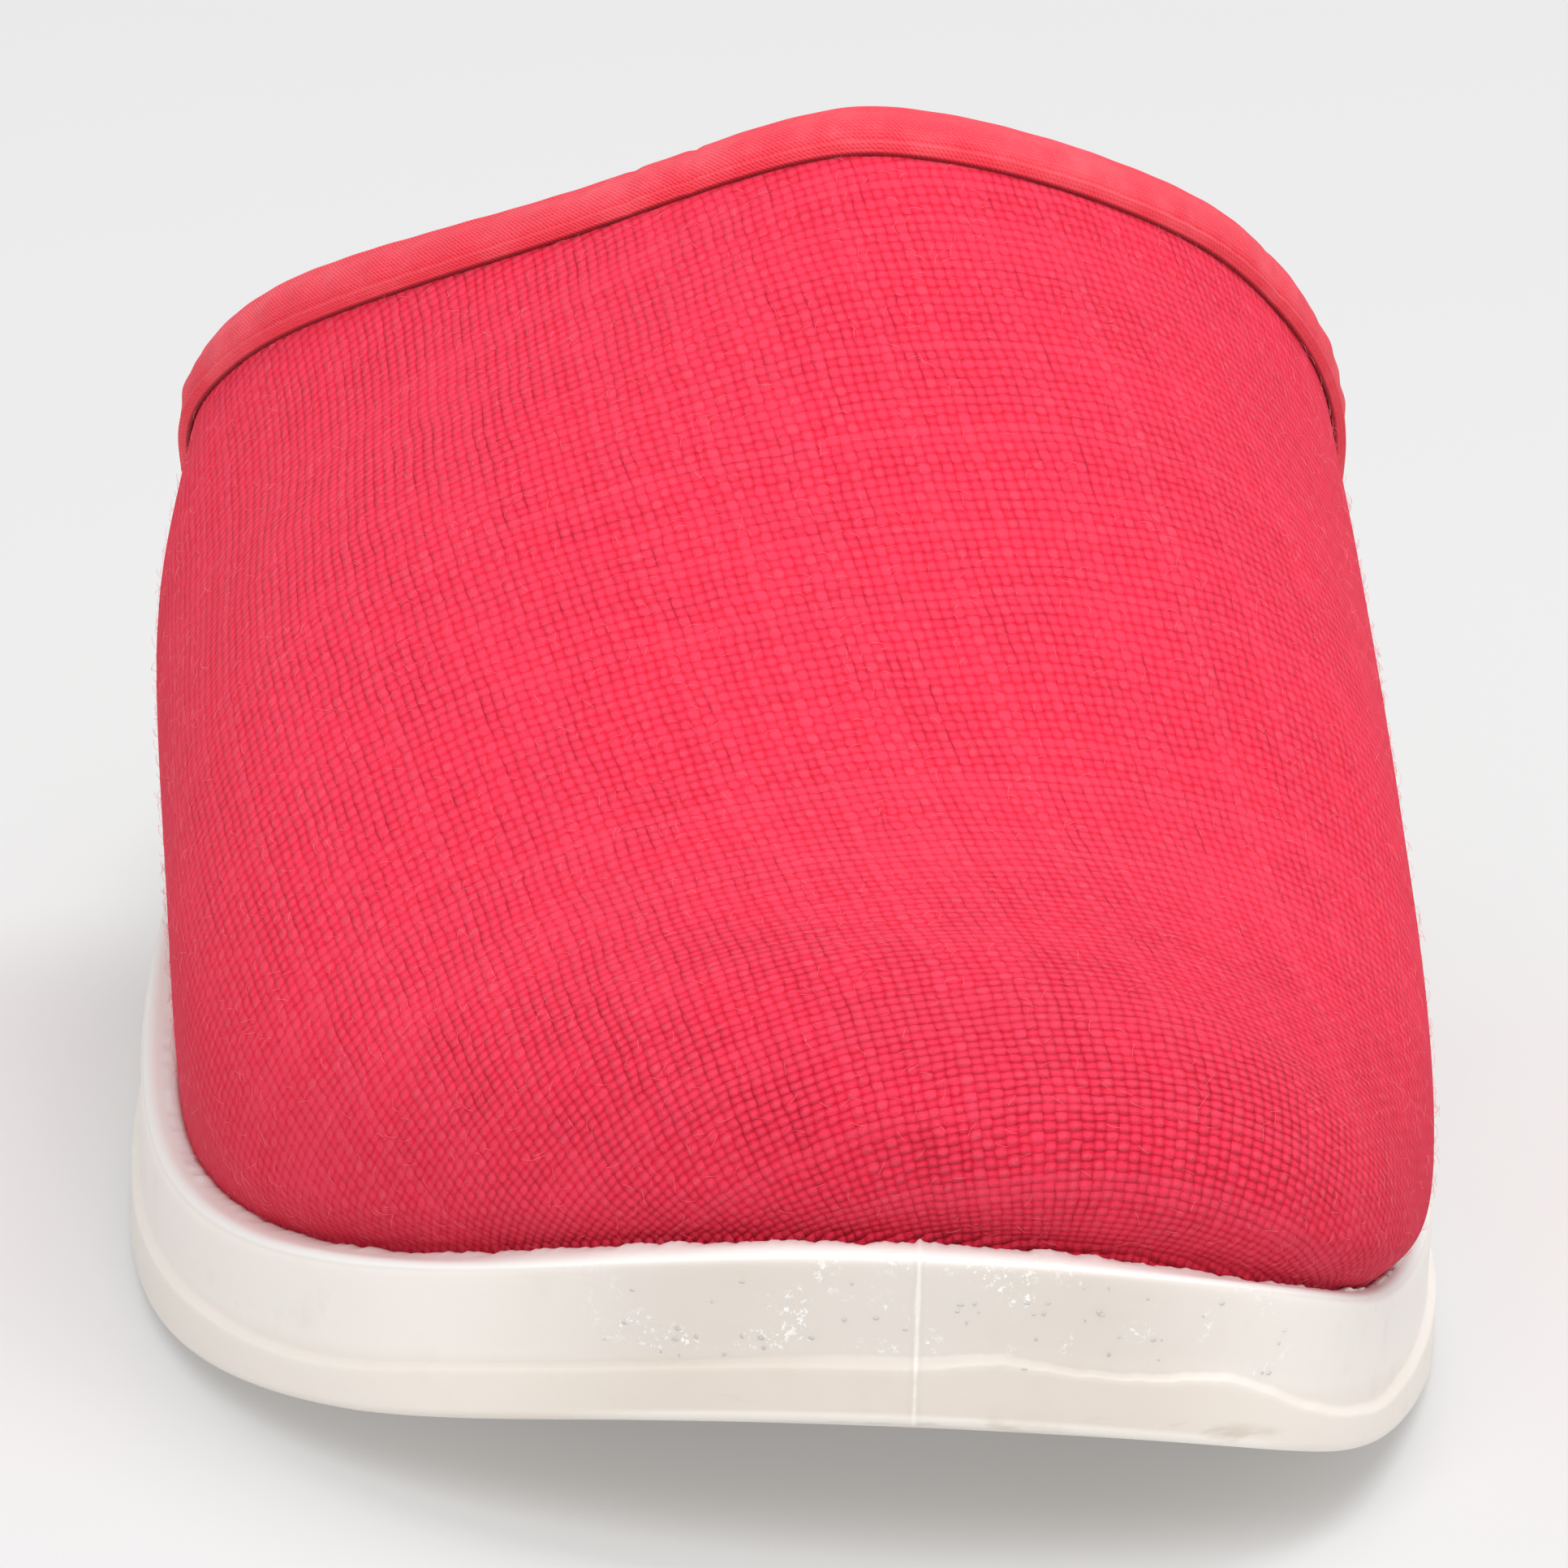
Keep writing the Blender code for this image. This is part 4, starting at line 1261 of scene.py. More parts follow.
# %% The threads that run one way
def threads(canvas, along, across, mine, dip, lift, seed):
    """Height, fibre and dark line of thread number `mine`, which runs `along`."""
    own = canvas.chance(mine, seed)
    slub = canvas.join(canvas.times(mine, 7.3), canvas.times(along, 0.2), seed)
    width = canvas.times_plus(own, 0.22, 0.80)
    width = canvas.times_plus(canvas.noise(slub, 1.0, detail=1), 0.36, width)
    edge = canvas.size(canvas.minus(canvas.minus(across, mine), 0.5))
    fill = canvas.compute("DIVIDE", canvas.times(edge, 2.0), width)
    arch = canvas.larger(canvas.minus(1.0, canvas.power(fill, 2.1)), -0.5)
    wave = canvas.plus(canvas.minus(along, 0.5), mine)
    wave = canvas.compute("COSINE", canvas.times(wave, math.pi))
    height = canvas.times_plus(own, 0.28, canvas.times_plus(wave, dip, arch))
    # The line on this thread's border is painted dark as shade, more on some borders and stretches
    # than others.
    border = canvas.whole(canvas.plus(across, 0.5))
    dark = canvas.ramp(canvas.chance(border, seed, 4.4), 0.35, 1.0, 0.05, 0.9)
    parting = canvas.join(canvas.times(border, 5.1), canvas.times(along, 0.45), seed)
    parting = canvas.noise(parting, 1.0, detail=1)
    dark = canvas.times(dark, canvas.ramp(parting, 0.44, 0.64))
    spun = canvas.join(canvas.times(across, 7.0), canvas.times(along, 2.4), seed)
    fibre = canvas.noise(spun, 1.0, detail=3, roughness=0.65)
    return canvas.plus(height, lift), fibre, canvas.times(canvas.ramp(edge, 0.39, 0.5), dark)


WARP_THREADS = {"dip": 0.74, "lift": 0.18, "seed": 3.1}
WEFT_THREADS = {"dip": -0.56, "lift": 0.0, "seed": 8.7}
print("warp threads stand", WARP_THREADS["lift"], "of a thread higher than weft threads")


# %% The canvas's weave
def canvas_finish():
    canvas = Finish(
        "coral canvas", Roughness=0.85, Specular_IOR_Level=0.22, Sheen_Weight=0.12,
        Sheen_Roughness=0.5, Sheen_Tint=linear(255, 120, 140),
    )
    net = canvas.own_map("threads")
    u, v, _ = canvas.split(net)
    for scale, reach in ((0.11, 0.9), (0.5, 0.36)):
        u = canvas.times_plus(canvas.noise(net, scale, detail=1), reach, u)
        v = canvas.times_plus(canvas.noise(net, scale * 0.9, detail=1), reach, v)
    warp, weft = canvas.whole(u), canvas.whole(v)
    x, _, z = canvas.split(canvas.spot)
    flank = canvas.ramp(canvas.size(canvas.minus(x, 0.008)), 0.022, 0.040)
    flank = canvas.times(flank, canvas.ramp(z, 0.034, 0.018, 0.0, 0.9))
    nap = canvas.ramp(canvas.noise(canvas.spot, 150, detail=3, roughness=0.65), 0.40, 0.62)
    nap = canvas.larger(nap, flank)
    heights, fibres, lines = zip(
        threads(canvas, v, u, warp, **WARP_THREADS), threads(canvas, u, v, weft, **WEFT_THREADS)
    )
    top = canvas.larger(*heights)
    warp_shows = canvas.compute("GREATER_THAN", *heights)
    fibre = canvas.mix(warp_shows, fibres[1], fibres[0])
    # Painted shade: the lines between threads and the holes at the crossings, lighter where the nap
    # closes them.
    seam = canvas.larger(lines[0], canvas.times(lines[1], 0.75))
    seam = canvas.times(seam, canvas.times_plus(nap, -0.6, 1.0))
    hole_shade = canvas.times(canvas.ramp(top, 0.50, -0.05), canvas.times_plus(nap, -0.8, 1.0))
    thread = canvas.chance(canvas.mix(warp_shows, weft, warp), 6.1)
    knot = canvas.chance(warp, weft, 5.0)
    glint = canvas.times(canvas.ramp(top, 1.3, 2.0), canvas.ramp(knot, 0.75, 1.0))
    # Painted shade: low parts of the threads, holes and lines between threads are painted darker;
    # the glint is a painted highlight on a few thread tops.
    colour = canvas.paint(
        canvas.mix(canvas.ramp(top, 0.6, 1.9), (242, 10, 54), (253, 60, 93)),
        (canvas.ramp(knot, 0.0, 1.0, 0.0, 0.25), (242, 36, 68)),
        (canvas.ramp(thread, 0.55, 1.0, 0.0, 0.3), (254, 76, 106)),
        (canvas.times(hole_shade, 0.85), (200, 2, 48)),
        (canvas.times(seam, 0.80), (208, 3, 50)),
        (canvas.times(glint, 0.12), (255, 128, 146)),
        (canvas.ramp(fibre, 0.5, 0.78, 0.0, 0.26), (255, 104, 124)),
    )
    soft = canvas.times_plus(nap, -0.30, 0.65)
    soft = canvas.times_plus(canvas.ramp(v, 20.0, -30.0), 0.30, soft)
    soft = canvas.times_plus(flank, -0.16, soft)
    fuzz = canvas.times(fibre, canvas.times_plus(flank, 0.5, 0.5))
    relief = canvas.times_plus(seam, -0.15, canvas.times_plus(top, soft, fuzz))
    return canvas.give(
        Base_Color=colour, Roughness=canvas.ramp(fibre, 0.3, 0.8, 0.75, 0.95),
        Normal=canvas.bump(relief, 0.00042, 0.95),
    )


CANVAS = canvas_finish()
print("finish:", CANVAS.name, "with", len(CANVAS.node_tree.nodes), "nodes")

# %% [markdown]
# ## The canvas upper
# The real upper is one piece of canvas, pulled tight over the last and held by the rubber. It
# could be a cage under a subdivision surface or a simulated cloth, but the last is a rule
# already and the cloth lies close on it, so its face is drawn straight from the rule as a fine
# grid of ribs and rows. A Solidify modifier then gives the cloth its thickness, inwards.

# %% Draw the canvas
CANVAS_THICK = 0.0009
RIBS_CROWD = 1.12  # above 1 the ribs lie closer near the topline


def give_threads(piece, places, name):
    layer = piece.data.uv_layers.new(name=name)
    spots = places[per_corner(piece.data)]
    layer.data.foreach_set("uv", spots.astype(np.float32).reshape(-1))


def thicken(piece, thickness):
    wall = piece.modifiers.new("cloth thickness", "SOLIDIFY")
    wall.thickness = thickness
    wall.offset = -1.0


def upper_shell(ribs, low_rows, high_rows, sink):
    """The last's face as points and faces, with a foot that reaches down into the recess."""
    half = 1 - (1 - np.linspace(0, 1, ribs + 1)) ** RIBS_CROWD
    turns = np.concatenate([-half[::-1], half[1:]])
    levels = np.concatenate([np.linspace(0, 1, low_rows)[:-1], np.linspace(1, 2, high_rows)])
    grid = whole_upper(turns, levels)
    grid = np.concatenate([grid[:, :1] - [0, 0, sink], grid], axis=1)
    return weld(grid.reshape(-1, 3), grid_faces(*grid.shape[:2])[:, ::-1])


def make_canvas():
    points, faces = upper_shell(190, low_rows=27, high_rows=66, sink=RECESS_DEPTH - GAP)
    cloth = count_threads(cloth_places(points))
    canvas = make_piece("canvas_upper", place(points), faces, CANVAS, "upper")
    give_threads(canvas, cloth, "threads")
    thicken(canvas, CANVAS_THICK)
    return canvas


canvas = make_canvas()

# %% [markdown]
# ## The lining
# Behind the canvas lies a thinner, plain beige cloth, glued to it. It could be the canvas's own
# inner face in another colour, but it has a weave and an edge of its own. So it is the same
# face, moved inwards along its own normals by a little more than the canvas's thickness, and
# made solid the same way.

# %% Make the lining
LINING_IN = 0.00102
LINING_THICK = 0.0007
LINING_PITCH = 0.0008
LINING_SHORTER = 0.0004


def lining_finish():
    cloth = Finish("beige lining", Roughness=0.92, Sheen_Weight=0.2, Sheen_Roughness=0.5)
    x, y, z = cloth.split(cloth.spot)
    wobble = cloth.noise(cloth.spot, 500, detail=2)
    lines = [
        cloth.sine(cloth.times_plus(wobble, 2.5, cloth.times(axis, 2 * math.pi / LINING_PITCH)))
        for axis in (cloth.plus(x, z), cloth.minus(y, z))
    ]
    weave = cloth.times(*lines)
    colour = cloth.mix(cloth.ramp(weave, -0.9, 0.9), (205, 192, 172), (226, 215, 198))
    return cloth.give(Base_Color=colour, Normal=cloth.bump(weave, 0.0001, 0.7))


def moved_in(points, faces, depth):
    """Points moved along the mean normal of the faces around them, against its direction."""
    mesh = bpy.data.meshes.new("measure")
    mesh.from_pydata(points.tolist(), [], faces)
    normals = np.empty(len(points) * 3, np.float32)
    mesh.vertex_normals.foreach_get("vector", normals)
    bpy.data.meshes.remove(mesh)
    return points - normals.reshape(-1, 3) * depth


def make_lining():
    sink = RECESS_DEPTH - GAP - LINING_SHORTER
    points, faces = upper_shell(80, low_rows=11, high_rows=31, sink=sink)
    inside = place(moved_in(points, faces, LINING_IN))
    lining = make_piece("lining", inside, faces, lining_finish(), "upper")
    thicken(lining, LINING_THICK)
    return lining


make_lining()

# %% [markdown]
# ## The tape's finish
# The binding tape is a fine twill: its threads step sideways from row to row, so the surface
# shows close diagonal lines, and it is worn paler in patches. Its texture coordinates run along
# the tape and across it, so the lines keep their slant round every bend, which a pattern in
# space would not.
# A dark line of painted shadow runs along the hem's edge, where the tape lies on the canvas.

# %% The tape's twill
TWILL = 0.00036


def tape_finish():
    tape = Finish(
        "coral tape", Roughness=0.75, Specular_IOR_Level=0.3, Sheen_Weight=0.25,
        Sheen_Roughness=0.4, Sheen_Tint=linear(255, 165, 175),
    )
    run = tape.own_map("along tape")
    along, across, _ = tape.split(run)
    slant = tape.times_plus(across, 0.9, along)
    slant = tape.times_plus(tape.noise(run, 700, detail=2), 0.0003, slant)
    twill = tape.sine(tape.times(slant, 2 * math.pi / TWILL))
    cut = tape.sine(tape.times(across, 2 * math.pi / (TWILL * 0.9)))
    twill = tape.times_plus(cut, 0.5, twill)
    fibre = tape.noise(run, 4200, detail=3, roughness=0.7)
    wear = tape.noise(tape.spot, 110, detail=4, roughness=0.65)
    colour = tape.paint(
        tape.mix(tape.ramp(twill, -1.3, 1.3), (240, 50, 74), (248, 72, 88)),
        (tape.ramp(fibre, 0.5, 0.8, 0, 0.35), (255, 130, 138)),
        (tape.ramp(wear, 0.42, 0.68, 0, 0.5), (255, 106, 118)),
        # Painted shadow: a dark line along the hem's edge, where the tape lies on the canvas.
        (tape.ramp(across, 0.00042, 0.00012, 0, 0.85), (118, 8, 26)),
    )
    height = tape.times_plus(fibre, 1.6, tape.times(twill, 0.6))
    return tape.give(Base_Color=colour, Normal=tape.bump(height, 0.00008, 0.7))


TAPE_CLOTH = tape_finish()
print("finish:", TAPE_CLOTH.name)

# %% [markdown]
# ## The binding
# A folded tape finishes the topline. It starts above the ledge on the outer side, climbs over
# the instep and goes down to the ledge on the inner side. A curve with a round profile would
# give a cord, not a tape. So at every station along the topline the tape's cross-section is
# drawn: a hem rolled into a thin ridge, a groove where the sewing pulls it down, a puffed band,
# the round fold and a plain inner half. The stitches' dimples and a few creases come last.

# %% Stations along the topline
TAPE_CLEAR = 0.006  # level of the tape's two ends, just above the ledge
TAPE_STATIONS = 340
TAPE_SAMPLES = 500


def face_at(side, turn, levels, step=1e-4):
    """Point, normal and the ways along turn and level on the upper's face."""
    here = upper_point(side, turn, levels)
    with_turn = (here - upper_point(side, turn - step, levels)) / step
    with_level = (here - upper_point(side, turn, levels - step)) / step
    normal = np.cross(with_turn, with_level) * side
    normal /= np.linalg.norm(normal, axis=1, keepdims=True)
    return here, normal, with_turn, with_level


def topline(side, levels):
    """Point, normal, backward way and stretch of the upper's face along the topline."""
    here, normal, with_turn, with_level = face_at(side, np.ones_like(levels), levels)
    across = (with_turn * with_level).sum(1) / (with_level * with_level).sum(1)
    back = with_turn - with_level * across[:, None]
    stretch = np.linalg.norm(back, axis=1, keepdims=True)
    return here, normal, back / stretch, stretch[:, 0]


def even_levels(side, stations):
    levels = np.linspace(TAPE_CLEAR, 2.0, TAPE_SAMPLES)
    lengths = run_lengths(upper_point(side, np.ones(TAPE_SAMPLES), levels))
    return np.interp(np.linspace(0, lengths[-1], stations), lengths, levels)


print("stations along the topline:", 2 * TAPE_STATIONS - 1)

# %% The tape's thickness across its width
TAPE_LIES = 0.0001  # clear of the canvas
TAPE_BAND = (0.00078, 0.00012)  # thickness of the sewn band, and how much it swings
BAND_SWING = (0.0020, 0.0040)  # where in the width the band is thickest, half a swing
PUFF = (0.0018, 0.0016)  # middle and half width of the puffed part
PUFF_HIGH, PUFF_UNEVEN = 0.00045, 0.00012
RIDGE = (0.00432, 0.00030)
RIDGE_HIGH = 0.00036
GROOVE = (0.00370, 0.00030)
GROOVE_LOW = 0.00020
STITCH = 0.0024
DIMPLE = (0.0036, 0.0003)
DIMPLE_LOW = 0.00010
HEM_ROUND = 0.0004
HIDDEN_THICK, HIDDEN_ROUND = 0.0007, 0.0006
TAPE_CREASES = (
    # place along the tape from its middle, depth, half width
    (-0.0200, 0.00014, 0.00045),
    (-0.0147, 0.00019, 0.00040),
    (0.0385, 0.00012, 0.00080),
)


def hidden_height(width, along):
    """The tape's inner half above the lining, at a distance from the fold."""
    rounding = np.sqrt(np.clip((TAPE_WIDTH - width) / HIDDEN_ROUND, 0, 1))
    return TAPE_LIES + HIDDEN_THICK * rounding + along * 0


def hem_height(width, along):
    """The tape's outer half above the canvas, at a distance from the fold."""
    band = TAPE_BAND[0] + TAPE_BAND[1] * np.cos((width - BAND_SWING[0]) / BAND_SWING[1] * math.pi)
    puff = PUFF_UNEVEN * np.sin(along * 410) * np.sin(along * 1130 + 1) + PUFF_HIGH
    band = band + puff * mound(width, *PUFF)
    ridge = RIDGE_HIGH * mound(width, *RIDGE)
    groove = GROOVE_LOW * mound(width, *GROOVE)
    beat = (along / STITCH) % 1.0 - 0.5
    dimple = DIMPLE_LOW * mound(beat, 0, 0.2) * mound(width, *DIMPLE)
    pinch = sum(deep * mound(along, at, wide) for at, deep, wide in TAPE_CREASES)
    rounding = np.sqrt(1 - np.clip((width - TAPE_WIDTH + HEM_ROUND) / HEM_ROUND, 0, 1) ** 2)
    return TAPE_LIES + (band + ridge - groove - dimple - pinch - TAPE_LIES) * rounding


print("stitches every", STITCH * 1000, "mm")

# %% Make the binding
TAPE_UNDER = 0.00008  # the tape's underside lies this close to the cloth
OUTER_COLUMNS, INNER_COLUMNS = 34, 12
OUTER_CROWDS = 1.3  # above 1 the columns lie closer near the hem
FOLD_STEPS = 15
FOLD_FLAT = 0.92
CORE_STEPS = 5
CORE_STARTS = 0.2
CORE_ROUND = 0.0001


def tape_side(runs, widths, height_of):
    """Points of the tape over the upper's face, stations by widths."""
    rows = []
    for run in runs:
        columns = []
        for width in widths:
            turn = 1 - width / run["stretch"]
            spot, normal, _, _ = face_at(run["side"], turn, run["levels"])
            columns.append(spot + normal * height_of(width, run["along"])[:, None])
        rows.append(np.stack(columns, 1))
    return np.concatenate(rows)


def tape_runs():
    """The topline from the outer ledge to the throat, and from there to the inner ledge."""
    runs, whole = [], 0.0
    for side in (-1, 1):
        levels = even_levels(side, TAPE_STATIONS)
        levels = levels if side < 0 else levels[-2::-1]
        here, normal, back, stretch = topline(side, levels)
        along = run_lengths(here) + whole
        whole = along[-1]
        runs.append({"side": side, "levels": levels, "stretch": stretch, "along": along,
                     "here": here, "normal": normal, "back": back})
    middle_at = float(runs[0]["along"][-1])
    for run in runs:
        run["along"] -= middle_at
    return runs, whole


def tape_section(runs):
    """The tape's whole cross-section at every station: outside, fold, inside and back again."""
    along, here, normal, back = (
        np.concatenate([run[key] for run in runs]) for key in ("along", "here", "normal", "back")
    )
    outer_widths = TAPE_WIDTH * (1 - np.linspace(0, 1, OUTER_COLUMNS)[:-1] ** OUTER_CROWDS)
    inner_widths = TAPE_WIDTH * np.linspace(0, 1, INNER_COLUMNS)[1:]
    outer = tape_side(runs, outer_widths, hem_height)
    under = tape_side(runs, outer_widths[1::4], lambda w, a: TAPE_UNDER + 0 * a)
    inner = tape_side(runs, inner_widths, lambda w, a: -WALL - hidden_height(w, a))
    over = tape_side(runs, inner_widths[1:-1:2], lambda w, a: -WALL - TAPE_UNDER + 0 * a)
    middle = here - normal * WALL / 2
    top, low = hem_height(0.0, along), hidden_height(0.0, along)
    fold, core = [], []
    for turn in np.linspace(0, math.pi, FOLD_STEPS):
        share = turn / math.pi
        thick = (top * (1 - share) + low * share + WALL / 2)[:, None]
        behind = back * thick * math.sin(turn) * FOLD_FLAT
        fold.append(middle + normal * thick * math.cos(turn) + behind)
    for turn in np.linspace(CORE_STARTS, math.pi - CORE_STARTS, CORE_STEPS):
        thick = WALL / 2 + CORE_ROUND
        core.append(middle + (normal * math.cos(turn) + back * math.sin(turn)) * thick)
    return along, np.concatenate([
        outer, np.stack(fold, 1), inner, over[:, ::-1], np.stack(core[::-1], 1), under[:, ::-1],
    ], axis=1)


def make_binding():
    runs, whole = tape_runs()
    along, section = tape_section(runs)
    stations, round_it = section.shape[:2]
    faces = [list(f) for f in grid_faces(stations, round_it, closed=True)[:, ::-1]]
    faces.append(list(range(round_it)))
    faces.append([(stations - 1) * round_it + i for i in range(round_it)][::-1])
    points = place(section.reshape(-1, 3))
    tape = make_piece("tape_binding", points, faces, TAPE_CLOTH, "binding")
    across = run_lengths(section[stations // 3])
    places = np.stack(np.broadcast_arrays(along[:, None], across[None, :]), -1).reshape(-1, 2)
    give_threads(tape, places, "along tape")
    print("the tape is", round(whole * 1000), "mm long and", round(across[-1] * 1000, 1), "mm round")
    return tape


make_binding()

# %% [markdown]
# ## Bubbles in the rubber
# Small bubbles and flakes sit on the toe's upper band, where air stayed in the mould. A bump
# would hint at the bubbles, but they stand off the surface. They are scattered by Geometry
# Nodes: points on the band's faces, a low dome on each, every dome laid along its face and
# scaled by a seeded chance. The flakes are drawn in the rubber's finish. The tree ends in real
# geometry, so it can be exported.


# %% A tree that scatters small things
class Tree:
    def __init__(self, name, **inputs):
        self.group = bpy.data.node_groups.new(name, "GeometryNodeTree")
        face = self.group.interface
        face.new_socket("Geometry", in_out="INPUT", socket_type="NodeSocketGeometry")
        self.inputs = {}
        for label, value in inputs.items():
            kind = "NodeSocketInt" if isinstance(value, int) else "NodeSocketFloat"
            socket = face.new_socket(label.replace("_", " "), in_out="INPUT", socket_type=kind)
            self.inputs[socket.identifier] = value
        face.new_socket("Geometry", in_out="OUTPUT", socket_type="NodeSocketGeometry")
        self.given = self.add("NodeGroupInput").outputs

    def add(self, kind, settings=None, **sockets):
        """A node with its settings, and with values or links in its sockets."""
        node = self.group.nodes.new(kind)
        for key, value in (settings or {}).items():
            setattr(node, key, value)
        for name, value in sockets.items():
            name = name.replace("_", " ")
            socket = next(s for s in node.inputs if s.name == name and s.enabled)
            if isinstance(value, bpy.types.NodeSocket):
                self.group.links.new(value, socket)
            else:
                socket.default_value = value
        return node

    def sprinkle(self):
        """Points scattered over the base's faces."""
        return self.add(
            "GeometryNodeDistributePointsOnFaces", Mesh=self.given["Geometry"],
            Density=self.given["Count per square metre"], Seed=self.given["Seed"],
        ).outputs

    def chance(self, low, high, seed):
        kind = {"data_type": "FLOAT_VECTOR"}
        return self.add("FunctionNodeRandomValue", kind, Min=low, Max=high, Seed=seed).outputs[0]

    def sized(self, shape, size):
        """A shape scaled the same in every direction by one of the tree's inputs."""
        ways = self.add("ShaderNodeCombineXYZ", X=size, Y=size, Z=size)
        return self.add(
            "GeometryNodeTransform", Geometry=shape.outputs[0], Scale=ways.outputs[0]
        ).outputs[0]

    def bake(self, name, base, placed, material):
        """Runs the tree on a bare copy of `base` and keeps the result as a plain mesh."""
        real = self.add("GeometryNodeRealizeInstances", Geometry=placed.outputs[0])
        painted = self.add("GeometryNodeSetMaterial", Geometry=real.outputs[0], Material=material)
        self.add("NodeGroupOutput", Geometry=painted.outputs[0])
        carrier = add_object(name, base)
        modifier = carrier.modifiers.new("scatter", "NODES")
        modifier.node_group = self.group
        for identifier, value in self.inputs.items():
            modifier[identifier] = value
        baked = bpy.data.meshes.new_from_object(
            carrier.evaluated_get(bpy.context.evaluated_depsgraph_get())
        )
        carrier.modifiers.clear()
        carrier.data = baked
        baked.name = name
        baked.polygons.foreach_set("use_smooth", [True] * len(baked.polygons))
        print(f"{name}: {len(baked.polygons)} faces")
        return carrier


print("tree helper ready")

# %% Scatter the bubbles
BUBBLES_ACROSS = (-0.013, 0.038)
BUBBLES_ABOVE_STEP = 0.0006
BUBBLES_BELOW_RIM = 0.0016
BUBBLES_STEP = 0.0048  # the step's height where the bubbles are
TABLES_TO_FRAME = Vector((SHIFT[0], -LENGTH / 2, 0))


def faces_where(piece, wanted):
    """A small mesh of only those faces of a piece whose centre and normal are wanted."""
    bm = bmesh.new()
    bm.from_mesh(piece.data)
    gone = [f for f in bm.faces if not wanted(f.calc_center_median() - TABLES_TO_FRAME, f.normal)]
    bmesh.ops.delete(bm, geom=gone, context="FACES")
    mesh = bpy.data.meshes.new(piece.name + " part")
    bm.to_mesh(mesh)
    bm.free()
    return mesh


def on_bubbly_band(spot, normal):
    low = BUBBLES_STEP + float(underside(spot.y))
    return (
        normal.y < -0.6 and abs(normal.z) < 0.3
        and BUBBLES_ACROSS[0] < spot.x < BUBBLES_ACROSS[1]
        and low + BUBBLES_ABOVE_STEP < spot.z < float(ledge(spot.y)) - BUBBLES_BELOW_RIM
    )


def make_bubbles():
    tree = Tree("bubbles", Count_per_square_metre=130000.0, Radius=0.00017, Seed=4)
    points = tree.sprinkle()
    dome = tree.add("GeometryNodeMeshIcoSphere", Radius=tree.given["Radius"], Subdivisions=2)
    placed = tree.add(
        "GeometryNodeInstanceOnPoints", Points=points["Points"], Instance=dome.outputs[0],
        Rotation=points["Rotation"], Scale=tree.chance((0.35, 0.35, 0.25), (1.6, 1.1, 0.5), 7),
    )
    return tree.bake("sole_bubbles", faces_where(sole, on_bubbly_band), placed, RUBBER)


bubbles = make_bubbles()
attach(bubbles, "root")

# %% [markdown]
# ## Stray fibres
# Spun cotton is never clean: short ends stand off the cloth and catch the light, most of all
# along the outline. Hair particles could do it, but they don't export. Each fibre here is a
# thin bent tube of a few faces, swept along a short curve, and Geometry Nodes plant it over the
# canvas with a chance for its turn.

# %% Plant the fibres
FIBRES_ABOVE_LEDGE = 0.0002


def lint_finish():
    lint = Finish("cotton lint", Roughness=0.9, Sheen_Weight=0.4, Sheen_Roughness=0.4)
    shade = lint.noise(lint.spot, 260, detail=2)
    return lint.give(Base_Color=lint.mix(shade, (250, 70, 98), (255, 138, 152)))


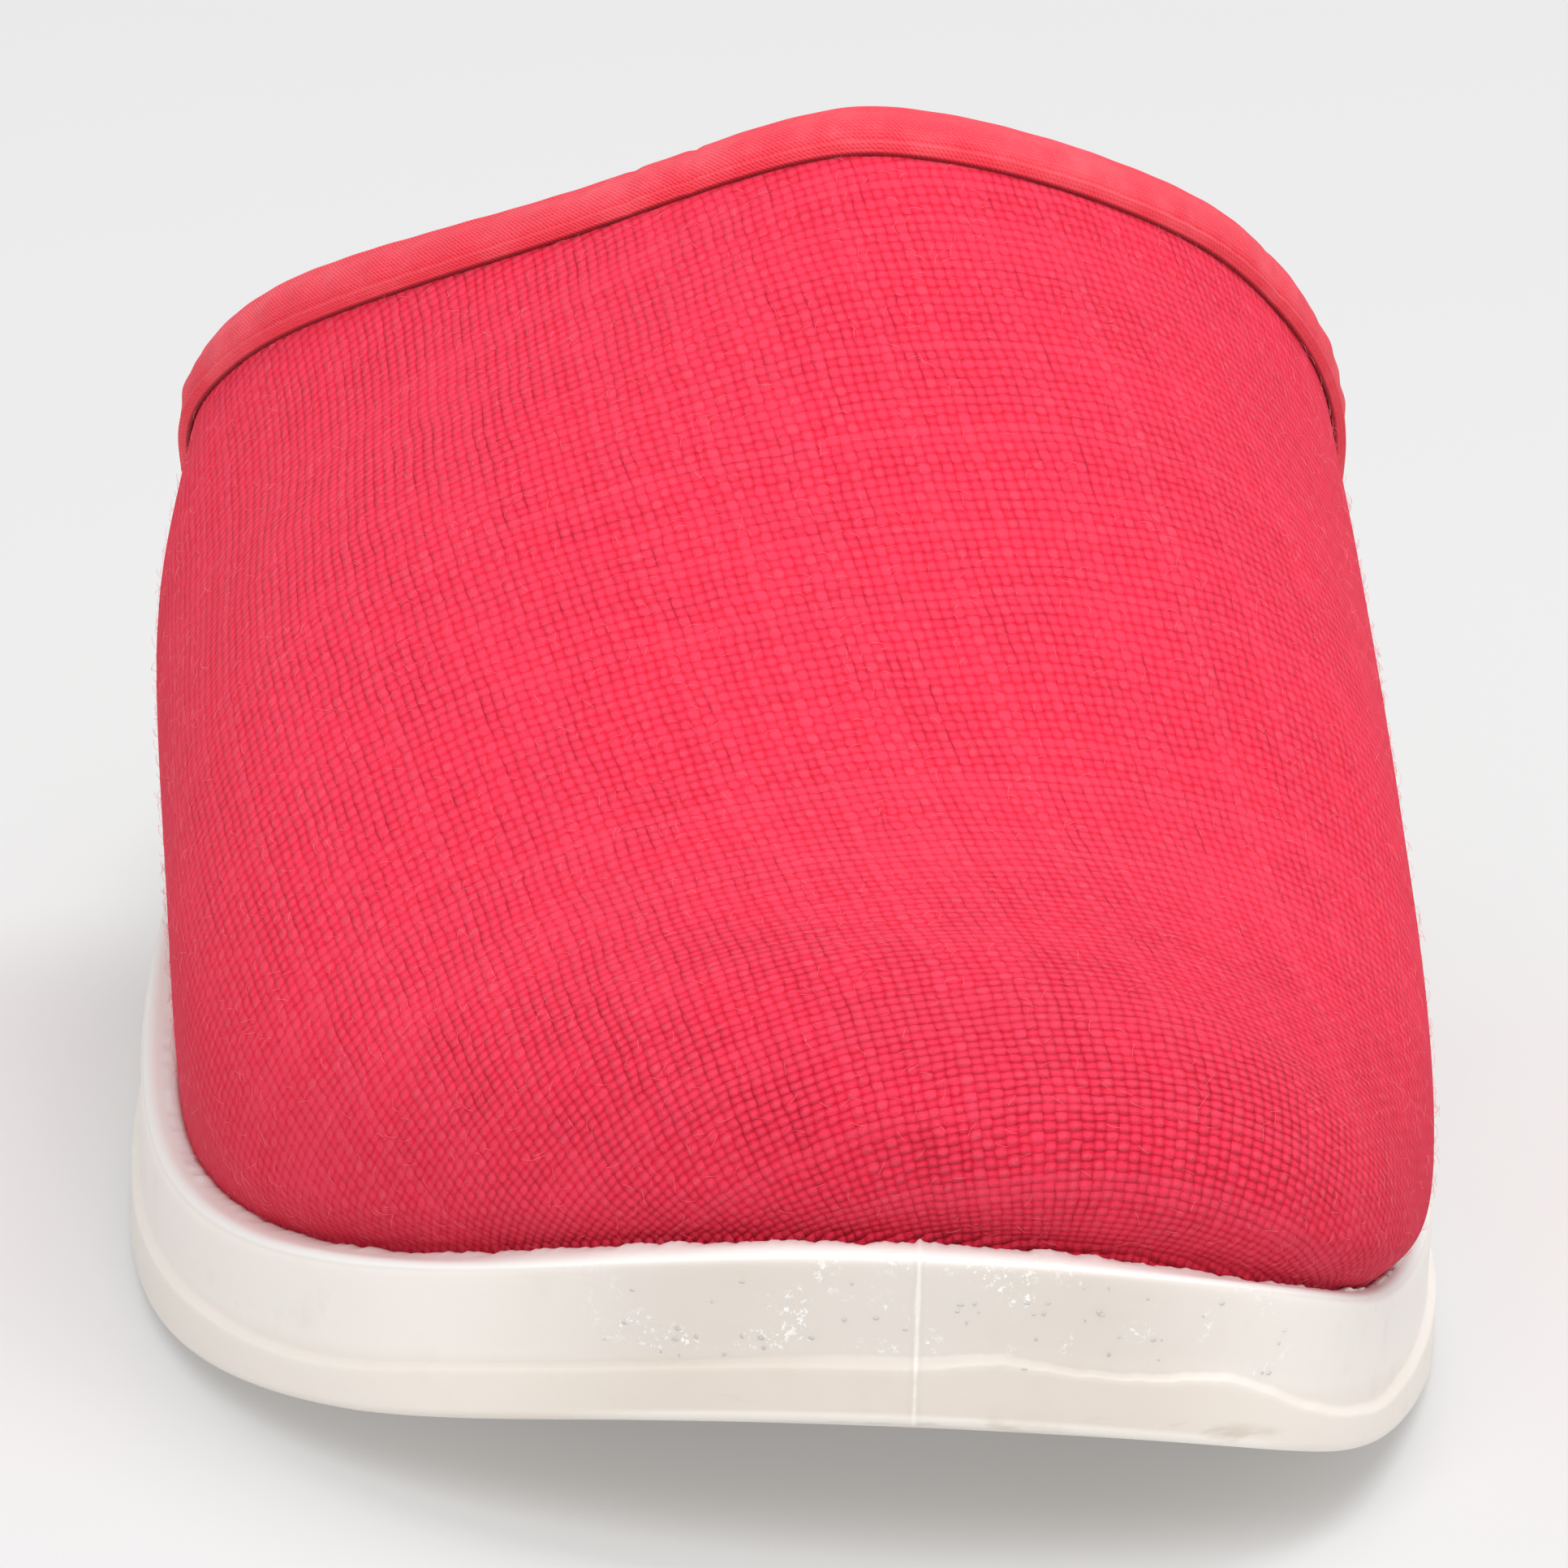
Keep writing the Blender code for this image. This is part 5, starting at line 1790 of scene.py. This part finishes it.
def make_fibres():
    tree = Tree("stray fibres", Count_per_square_metre=170000.0, Length=0.0012,
                Thickness=0.000014, Seed=11)
    points = tree.sprinkle()
    hair = tree.add("GeometryNodeCurveQuadraticBezier", Resolution=4, Start=(0, 0, -0.04),
                    Middle=(0.34, 0.1, 0.30), End=(0.95, -0.12, 0.16))
    ring = tree.add("GeometryNodeCurvePrimitiveCircle", Resolution=3, Radius=1.0)
    tube = tree.add(
        "GeometryNodeCurveToMesh", Curve=tree.sized(hair, tree.given["Length"]),
        Profile_Curve=tree.sized(ring, tree.given["Thickness"]), Fill_Caps=True,
    )
    spin = tree.chance((-0.35, -0.25, 0.0), (0.35, 0.25, 6.283), 3)
    turned = tree.add("FunctionNodeRotateRotation", {"rotation_space": "LOCAL"},
                      Rotation=points["Rotation"], Rotate_By=spin)
    placed = tree.add(
        "GeometryNodeInstanceOnPoints", Points=points["Points"], Instance=tube.outputs[0],
        Rotation=turned.outputs[0],
    )
    base = faces_where(
        canvas, lambda spot, normal: spot.z > float(ledge(spot.y)) + FIBRES_ABOVE_LEDGE
    )
    return tree.bake("stray_fibres", base, placed, lint_finish())


fibres = make_fibres()
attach(fibres, "root")

# %% [markdown]
# ## Floor and light
# The slipper stands on a pale floor that runs out of view, as in a small product studio. Bare
# lamps would cast hard shadows, so both lamps are large and soft. One hangs above the slipper
# and to its inner side, so the shadow falls to the outer side and under the toe. The other
# stands high in front and lights the toe, and an even pale surrounding light fills the rest.
# The floor glows faintly, which keeps it nearly white.

# %% The pale floor
FLOOR_HALF = 6


def floor_finish():
    paper = Finish("pale floor", Roughness=0.9, Specular_IOR_Level=0.1,
                   Emission_Color=(1, 1, 1, 1), Emission_Strength=0.22)
    cloud = paper.noise(paper.spot, 3, detail=2)
    return paper.give(Base_Color=paper.mix(cloud, (190, 190, 190), (192, 192, 192)))


mesh = bpy.data.meshes.new("floor")
bm = bmesh.new()
bmesh.ops.create_grid(bm, x_segments=8, y_segments=8, size=FLOOR_HALF)
bm.to_mesh(mesh)
bm.free()
mesh.materials.append(floor_finish())
floor = add_object("floor", mesh)
floor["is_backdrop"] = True
print("floor laid")


# %% Lamps and surroundings
def soft_lamp(name, stands, size, power):
    """A round lamp that looks at the slipper's middle."""
    lamp = bpy.data.lights.new(name, "AREA")
    lamp.shape, lamp.size, lamp.energy = "DISK", size, power
    stand = add_object(name, lamp)
    stand.location = stands
    stand.rotation_euler = (-Vector(stands)).to_track_quat("-Z", "Y").to_euler()


soft_lamp("overhead", stands=(0.42, 0.10, 1.45), size=1.1, power=10.4)
soft_lamp("front", stands=(-0.08, -1.45, 1.35), size=1.3, power=18.0)
world = bpy.data.worlds.new("studio")
bpy.context.scene.world = world
world.use_nodes = True
surroundings = world.node_tree.nodes["Background"].inputs
surroundings["Color"].default_value = (1, 1, 1, 1)
surroundings["Strength"].default_value = 0.60
bpy.context.scene.view_settings.view_transform = "Standard"
print("lamps set")

# %% The sizes of the frame and of the dressed slipper
boxes = {"cad": cad_box, "visual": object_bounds()}
{name: [list(corner) for corner in box] for name, box in boxes.items()}
